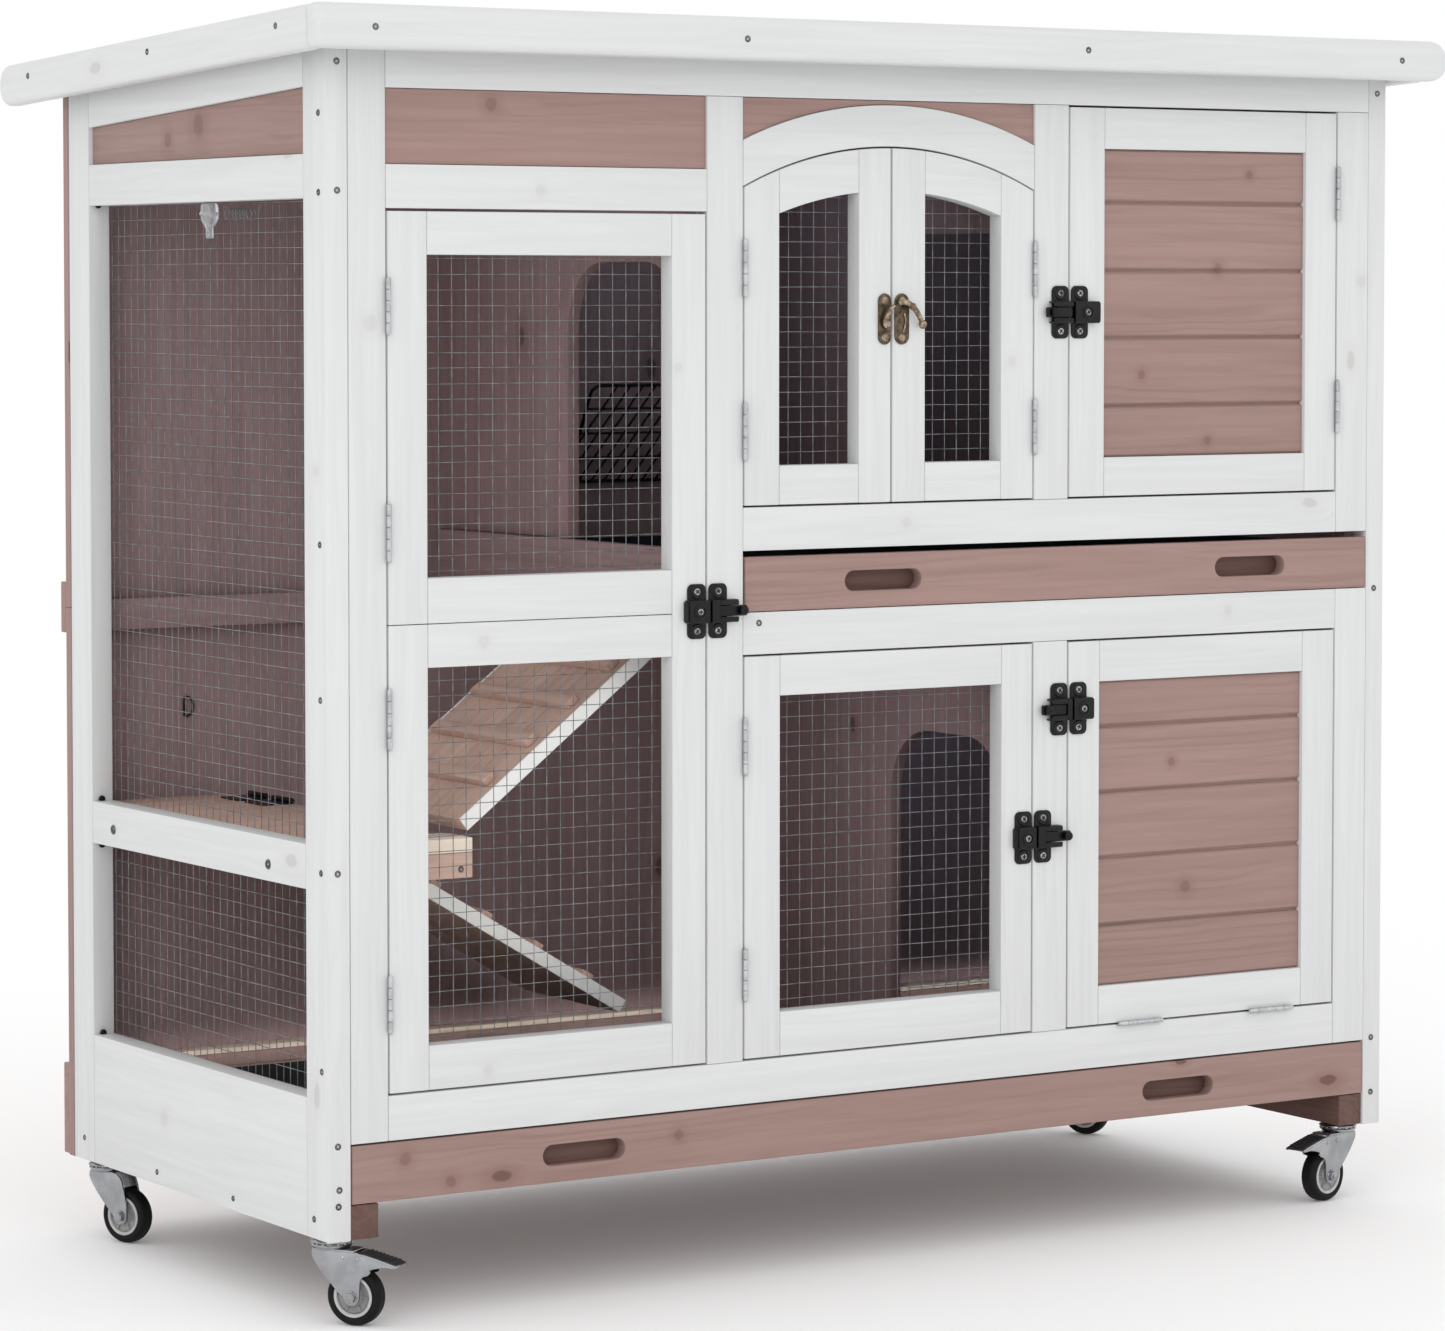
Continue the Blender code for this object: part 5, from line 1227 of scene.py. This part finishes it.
def caster(key, x, y, heading, brake):
    base = Matrix.Translation((x, y, 0.0)) @ Matrix.Rotation(math.radians(heading), 4, "Z")
    stand = Matrix.Rotation(math.radians(90), 4, "X")
    fork = Piece(key + "_fork_steel", key + "_caster", "bright_steel", [CHROME], [key + "_fork"])
    fork.add(lathe([(0.0, -.35), (14.4, -.35), (15.2, -.6), (15.9, -1.2), (17.3, -2.0), (17.45, -2.6), (16.9, -3.1), (15.4, -3.3), (15.1, -4.0),
                    (16.5, -4.4), (16.9, -5.0), (16.4, -6.2), (14.6, -7.4), (12.6, -7.9), (0.0, -7.9)], 44), base, smooth=True)
    for i in range(16):
        a = 2 * math.pi * i / 16
        ball = [(0.0, -1.25)] + [(1.25 * math.cos(math.radians(q)), 1.25 * math.sin(math.radians(q))) for q in (-60, -30, 0, 30, 60)] + [(0.0, 1.25)]
        fork.add(lathe(ball, 10), base @ Matrix.Translation((15.5 * math.cos(a), 15.5 * math.sin(a), -3.7)), smooth=True)
    ax, az = AXLE
    front_top = 26.0 if brake else 15.5
    outline = spline_path([(-12.8, -9.0, 0), (-12.4, -15.0, 0), (-4.0, -27.0, 0), (6.5, -38.5, 0), (14.6, -46.5, 0)], 5)
    low = [Vector((ax + 7.0 * math.cos(math.radians(q)), az + 7.0 * math.sin(math.radians(q)), 0)) for q in range(195, 346, 15)]
    if brake:
        rise = spline_path([(29.2, -45.0, 0), (29.4, -38.0, 0), (30.2, -31.8, 0), (33.0, -28.6, 0), (37.4, -27.0, 0), (38.6, -23.4, 0),
                            (34.0, -15.0, 0), (27.5, -9.2, 0)], 5)
    else:
        rise = spline_path([(29.0, -45.0, 0), (28.6, -36.0, 0), (26.4, -24.0, 0), (22.5, -13.0, 0), (17.0, -8.2, 0)], 5)
    side_loop = [(p.x, p.y) for p in outline + low + rise]
    for s in (-1, 1):
        fork.add(cutout([side_loop], 0.95, 0.4, 2), base @ Matrix.Translation((0, s * 9.6, 0)) @ stand)
    fork.add(block((-12.6, -10.4, -9.6), (front_top - 1.5, 10.4, -7.7), 0.9), base)
    fork.add(block((-13.0, -10.4, -14.5), (-11.6, 10.4, -8.4), 0.6), base)
    for s in (-1, 1):
        face = base @ Matrix.Translation((ax, s * 10.6, az)) @ Matrix.Rotation(math.radians(90 if s < 0 else -90), 4, "X")
        fork.add(lathe([(0.0, 0.0), (5.6, 0.0), (5.7, .4), (5.5, .8), (0.0, .8)], 28), face, smooth=True)
        hexa = [(4.6 * math.cos(math.radians(60 * k + 12)), 4.6 * math.sin(math.radians(60 * k + 12))) for k in range(6)]
        fork.add(prism(hexa, 0.8, 3.5, "xy", 0.5), face)
        fork.add(lathe([(0.0, 3.4), (2.4, 3.4), (2.4, 4.6), (1.9, 5.0), (0.0, 5.0)] if s > 0 else
                       [(3.3, 3.4), (3.2, 3.7), (2.0, 3.8), (1.6, 3.3), (0.0, 3.2)], 20), face, smooth=True)
    rod = lathe([(0.0, -10.6), (2.5, -10.6), (2.5, 10.6), (0.0, 10.6)], 16)
    fork.add(rod, base @ Matrix.Translation((ax, 0, az)) @ stand, smooth=True)
    if brake:
        for s in (-1, 1):
            for px, pz in ((27.0, -15.0), (14.0, -14.5)):
                face = base @ Matrix.Translation((px, s * 10.5, pz)) @ Matrix.Rotation(math.radians(90 if s < 0 else -90), 4, "X")
                fork.add(lathe([(0.0, 0.0), (1.9, 0.0), (1.9, .5), (1.2, .9), (0.0, 1.0)], 14), face, smooth=True)
    fork.make()

    hub = base @ Matrix.Translation((ax, 0, az)) @ stand
    tyre = Piece(key + "_tyre", key + "_wheel", "tyre_rubber", [RUBBER, HUB, DISH], [key + "_wheel"])
    h = 7.5
    section = [(17.0, h - .9), (18.0, h - .3), (19.8, h), (21.4, h - .3), (22.8, h - 1.4), (23.6, h - 3.0), (24.0, h - 4.8), (24.0, 1.0), (23.8, 0.6),
               (23.8, -.6), (24.0, -1.0), (24.0, 4.8 - h), (23.6, 3.0 - h), (22.8, 1.4 - h), (21.4, .3 - h), (19.8, -h), (18.0, .3 - h), (17.0, .9 - h)]
    tyre.add(lathe(section, 64, closed=True), hub, smooth=True)
    for s in (-1, 1):
        band = [(16.95, 0.2 * s), (16.95, (h - .5) * s), (16.3, (h - .1) * s), (15.0, (h - .1) * s), (14.2, (h - .9) * s), (13.9, 0.2 * s)]
        tyre.add(lathe(band, 56, closed=True), hub, mat=1, smooth=True)
        disc = [(13.8, 0.3 * s), (13.8, (h - 1.8) * s), (13.0, (h - 2.6) * s), (8.6, (h - 2.8) * s), (7.8, (h - 1.2) * s), (7.2, (h - .2) * s),
                (4.8, (h + .1) * s), (3.0, (h + .1) * s), (3.0, 0.3 * s)]
        tyre.add(lathe(disc, 48, closed=True), hub, mat=2, smooth=True)
        for k in range(6):
            a = 2 * math.pi * k / 6
            rib = block((7.6, -.7, (h - 3.0)), (13.6, .7, (h - 1.3)), 0.25, 1)
            if s < 0:
                bmesh.ops.transform(rib, matrix=Matrix.Rotation(math.pi, 4, "X"), verts=rib.verts)
            tyre.add(rib, hub @ Matrix.Rotation(a, 4, "Z"), mat=2)
    tyre.make()

    if brake:
        pedal = Piece(key + "_pedal", key + "_brake", "bright_steel", [CHROME, PEDAL], [key + "_brake_pedal"])
        top = [(26.7, -9.6), (34.0, -10.6), (44.0, -12.9), (54.0, -15.5), (62.0, -17.8), (62.4, -19.2), (61.4, -19.5), (53.6, -17.2),
               (43.6, -14.6), (33.8, -12.3), (26.7, -11.3)]
        pedal.add(prism(top, -10.4, 10.4, "xz", 0.35), base)
        skirt = spline_path([(27.0, -10.6, 0), (36.0, -12.0, 0), (48.0, -15.0, 0), (61.4, -18.6, 0), (61.0, -20.0, 0), (52.0, -19.8, 0),
                             (44.0, -21.2, 0), (37.5, -22.8, 0), (31.0, -21.4, 0), (27.0, -19.4, 0)], 4)
        for s in (-1, 1):
            pedal.add(cutout([[(p.x, p.y) for p in skirt]], 0.7, 0.3, 1), base @ Matrix.Translation((0, s * 9.8 if s else 0, 0)) @ stand)
        slope = math.atan2(-8.2, 34.4)
        grip = base @ Matrix.Translation((30.5, 0, -9.85)) @ Matrix.Rotation(-slope, 4, "Y")
        pedal.add(block((0.0, -9.2, -.3), (29.5, 9.2, .5), 0.3), grip, mat=1)
        for k in range(8):
            pedal.add(block((1.6 + 3.5 * k, -8.9, .3), (3.4 + 3.5 * k, 8.9, 1.25), 0.3), grip, mat=1)
        pedal.make()


for key, spec in CASTERS.items():
    caster(key, *spec)

make_screws()

# ------------------------------------------------------------------ floor, light, camera
floor_mesh = bpy.data.meshes.new("floor")
size = 60.0
floor_mesh.from_pydata([(-size, -size, 0), (size, -size, 0), (size, size, 0), (-size, size, 0)], [], [(0, 1, 2, 3)])
floor = bpy.data.objects.new("floor", floor_mesh)
bpy.context.scene.collection.objects.link(floor)
floor_mat, nt, shader = new_material("floor_paper")
shader.inputs["Base Color"].default_value = (0.93, 0.93, 0.93, 1.0)
shader.inputs["Roughness"].default_value = 0.9
shader.inputs["Emission Color"].default_value = (1.0, 1.0, 1.0, 1.0)
shader.inputs["Emission Strength"].default_value = 0.07
shader.inputs["Specular IOR Level"].default_value = 0.1
floor.data.materials.append(floor_mat)

world = bpy.data.worlds.new("studio")
bpy.context.scene.world = world
world.use_nodes = True
world.node_tree.nodes["Background"].inputs["Color"].default_value = (1.0, 1.0, 1.0, 1.0)
world.node_tree.nodes["Background"].inputs["Strength"].default_value = 1.0


def softbox(name, at, target, size_x, size_y, power):
    data = bpy.data.lights.new(name, "AREA")
    data.shape = "RECTANGLE"
    data.size, data.size_y, data.energy = size_x, size_y, power
    obj = bpy.data.objects.new(name, data)
    bpy.context.scene.collection.objects.link(obj)
    obj.location = at
    obj.rotation_euler = (Vector(target) - Vector(at)).to_track_quat("-Z", "Y").to_euler()
    return obj


softbox("key", (-3.9, -4.0, 2.7), (0.0, 0.0, 0.5), 2.4, 2.4, 37.0)
softbox("fill", (2.6, -4.6, 2.0), (0.0, 0.0, 0.5), 2.0, 2.0, 8.0)
# small hidden bounce panels that lift the shade inside the closed rooms
for name, at, target, power, colour, spread in (
        ("room_upper", (0.0, -0.05, 0.97), (0.0, 0.15, 0.62), 0.15, (0.62, 0.80, 1.0), 180),
        ("room_upper_right", (0.33, -0.02, 0.97), (0.33, 0.1, 0.62), 0.12, (0.62, 0.80, 1.0), 180),
        ("room_lower_right", (0.33, -0.02, 0.50), (0.33, 0.1, 0.16), 0.15, (0.58, 0.78, 1.0), 180),
        ("room_lower", (-0.04, -0.10, 0.47), (0.17, 0.02, 0.22), 0.13, (0.90, 0.94, 1.0), 150),
        ("room_run", (-0.36, -0.08, 0.98), (-0.30, 0.1, 0.40), 0.10, (0.86, 0.93, 1.0), 180),
        ("room_run_low", (-0.24, -0.19, 0.36), (-0.24, 0.03, 0.22), 0.05, (1.0, 0.99, 0.97), 70)):
    panel = softbox(name, at, target, 0.16, 0.16, power)
    panel.data.color = colour
    panel.data.spread = math.radians(spread)
    panel.visible_camera = False
    panel.visible_glossy = False
ledge = softbox("room_ledge", (-0.02, -0.20, 0.166), (-0.02, 0.20, 0.154), 0.98, 0.012, 0.03)
ledge.data.spread = math.radians(7)
ledge.visible_camera = False
ledge.visible_glossy = False

cam_data = bpy.data.cameras.new("view")
cam = bpy.data.objects.new("view", cam_data)
bpy.context.scene.collection.objects.link(cam)
cam.location = (-2.382, -3.737, 0.829)
cam.rotation_euler = (math.radians(90.0 - 2.77), 0.0, -math.radians(32.40))
cam_data.sensor_fit = "HORIZONTAL"
cam_data.sensor_width = 36.0
cam_data.lens = 4934.0 / 1445.0 * 36.0
cam_data.shift_y = -0.09
cam_data.clip_end = 200.0
bpy.context.scene.camera = cam
bpy.context.scene.view_settings.view_transform = "Standard"
bpy.context.scene.view_settings.look = "None"
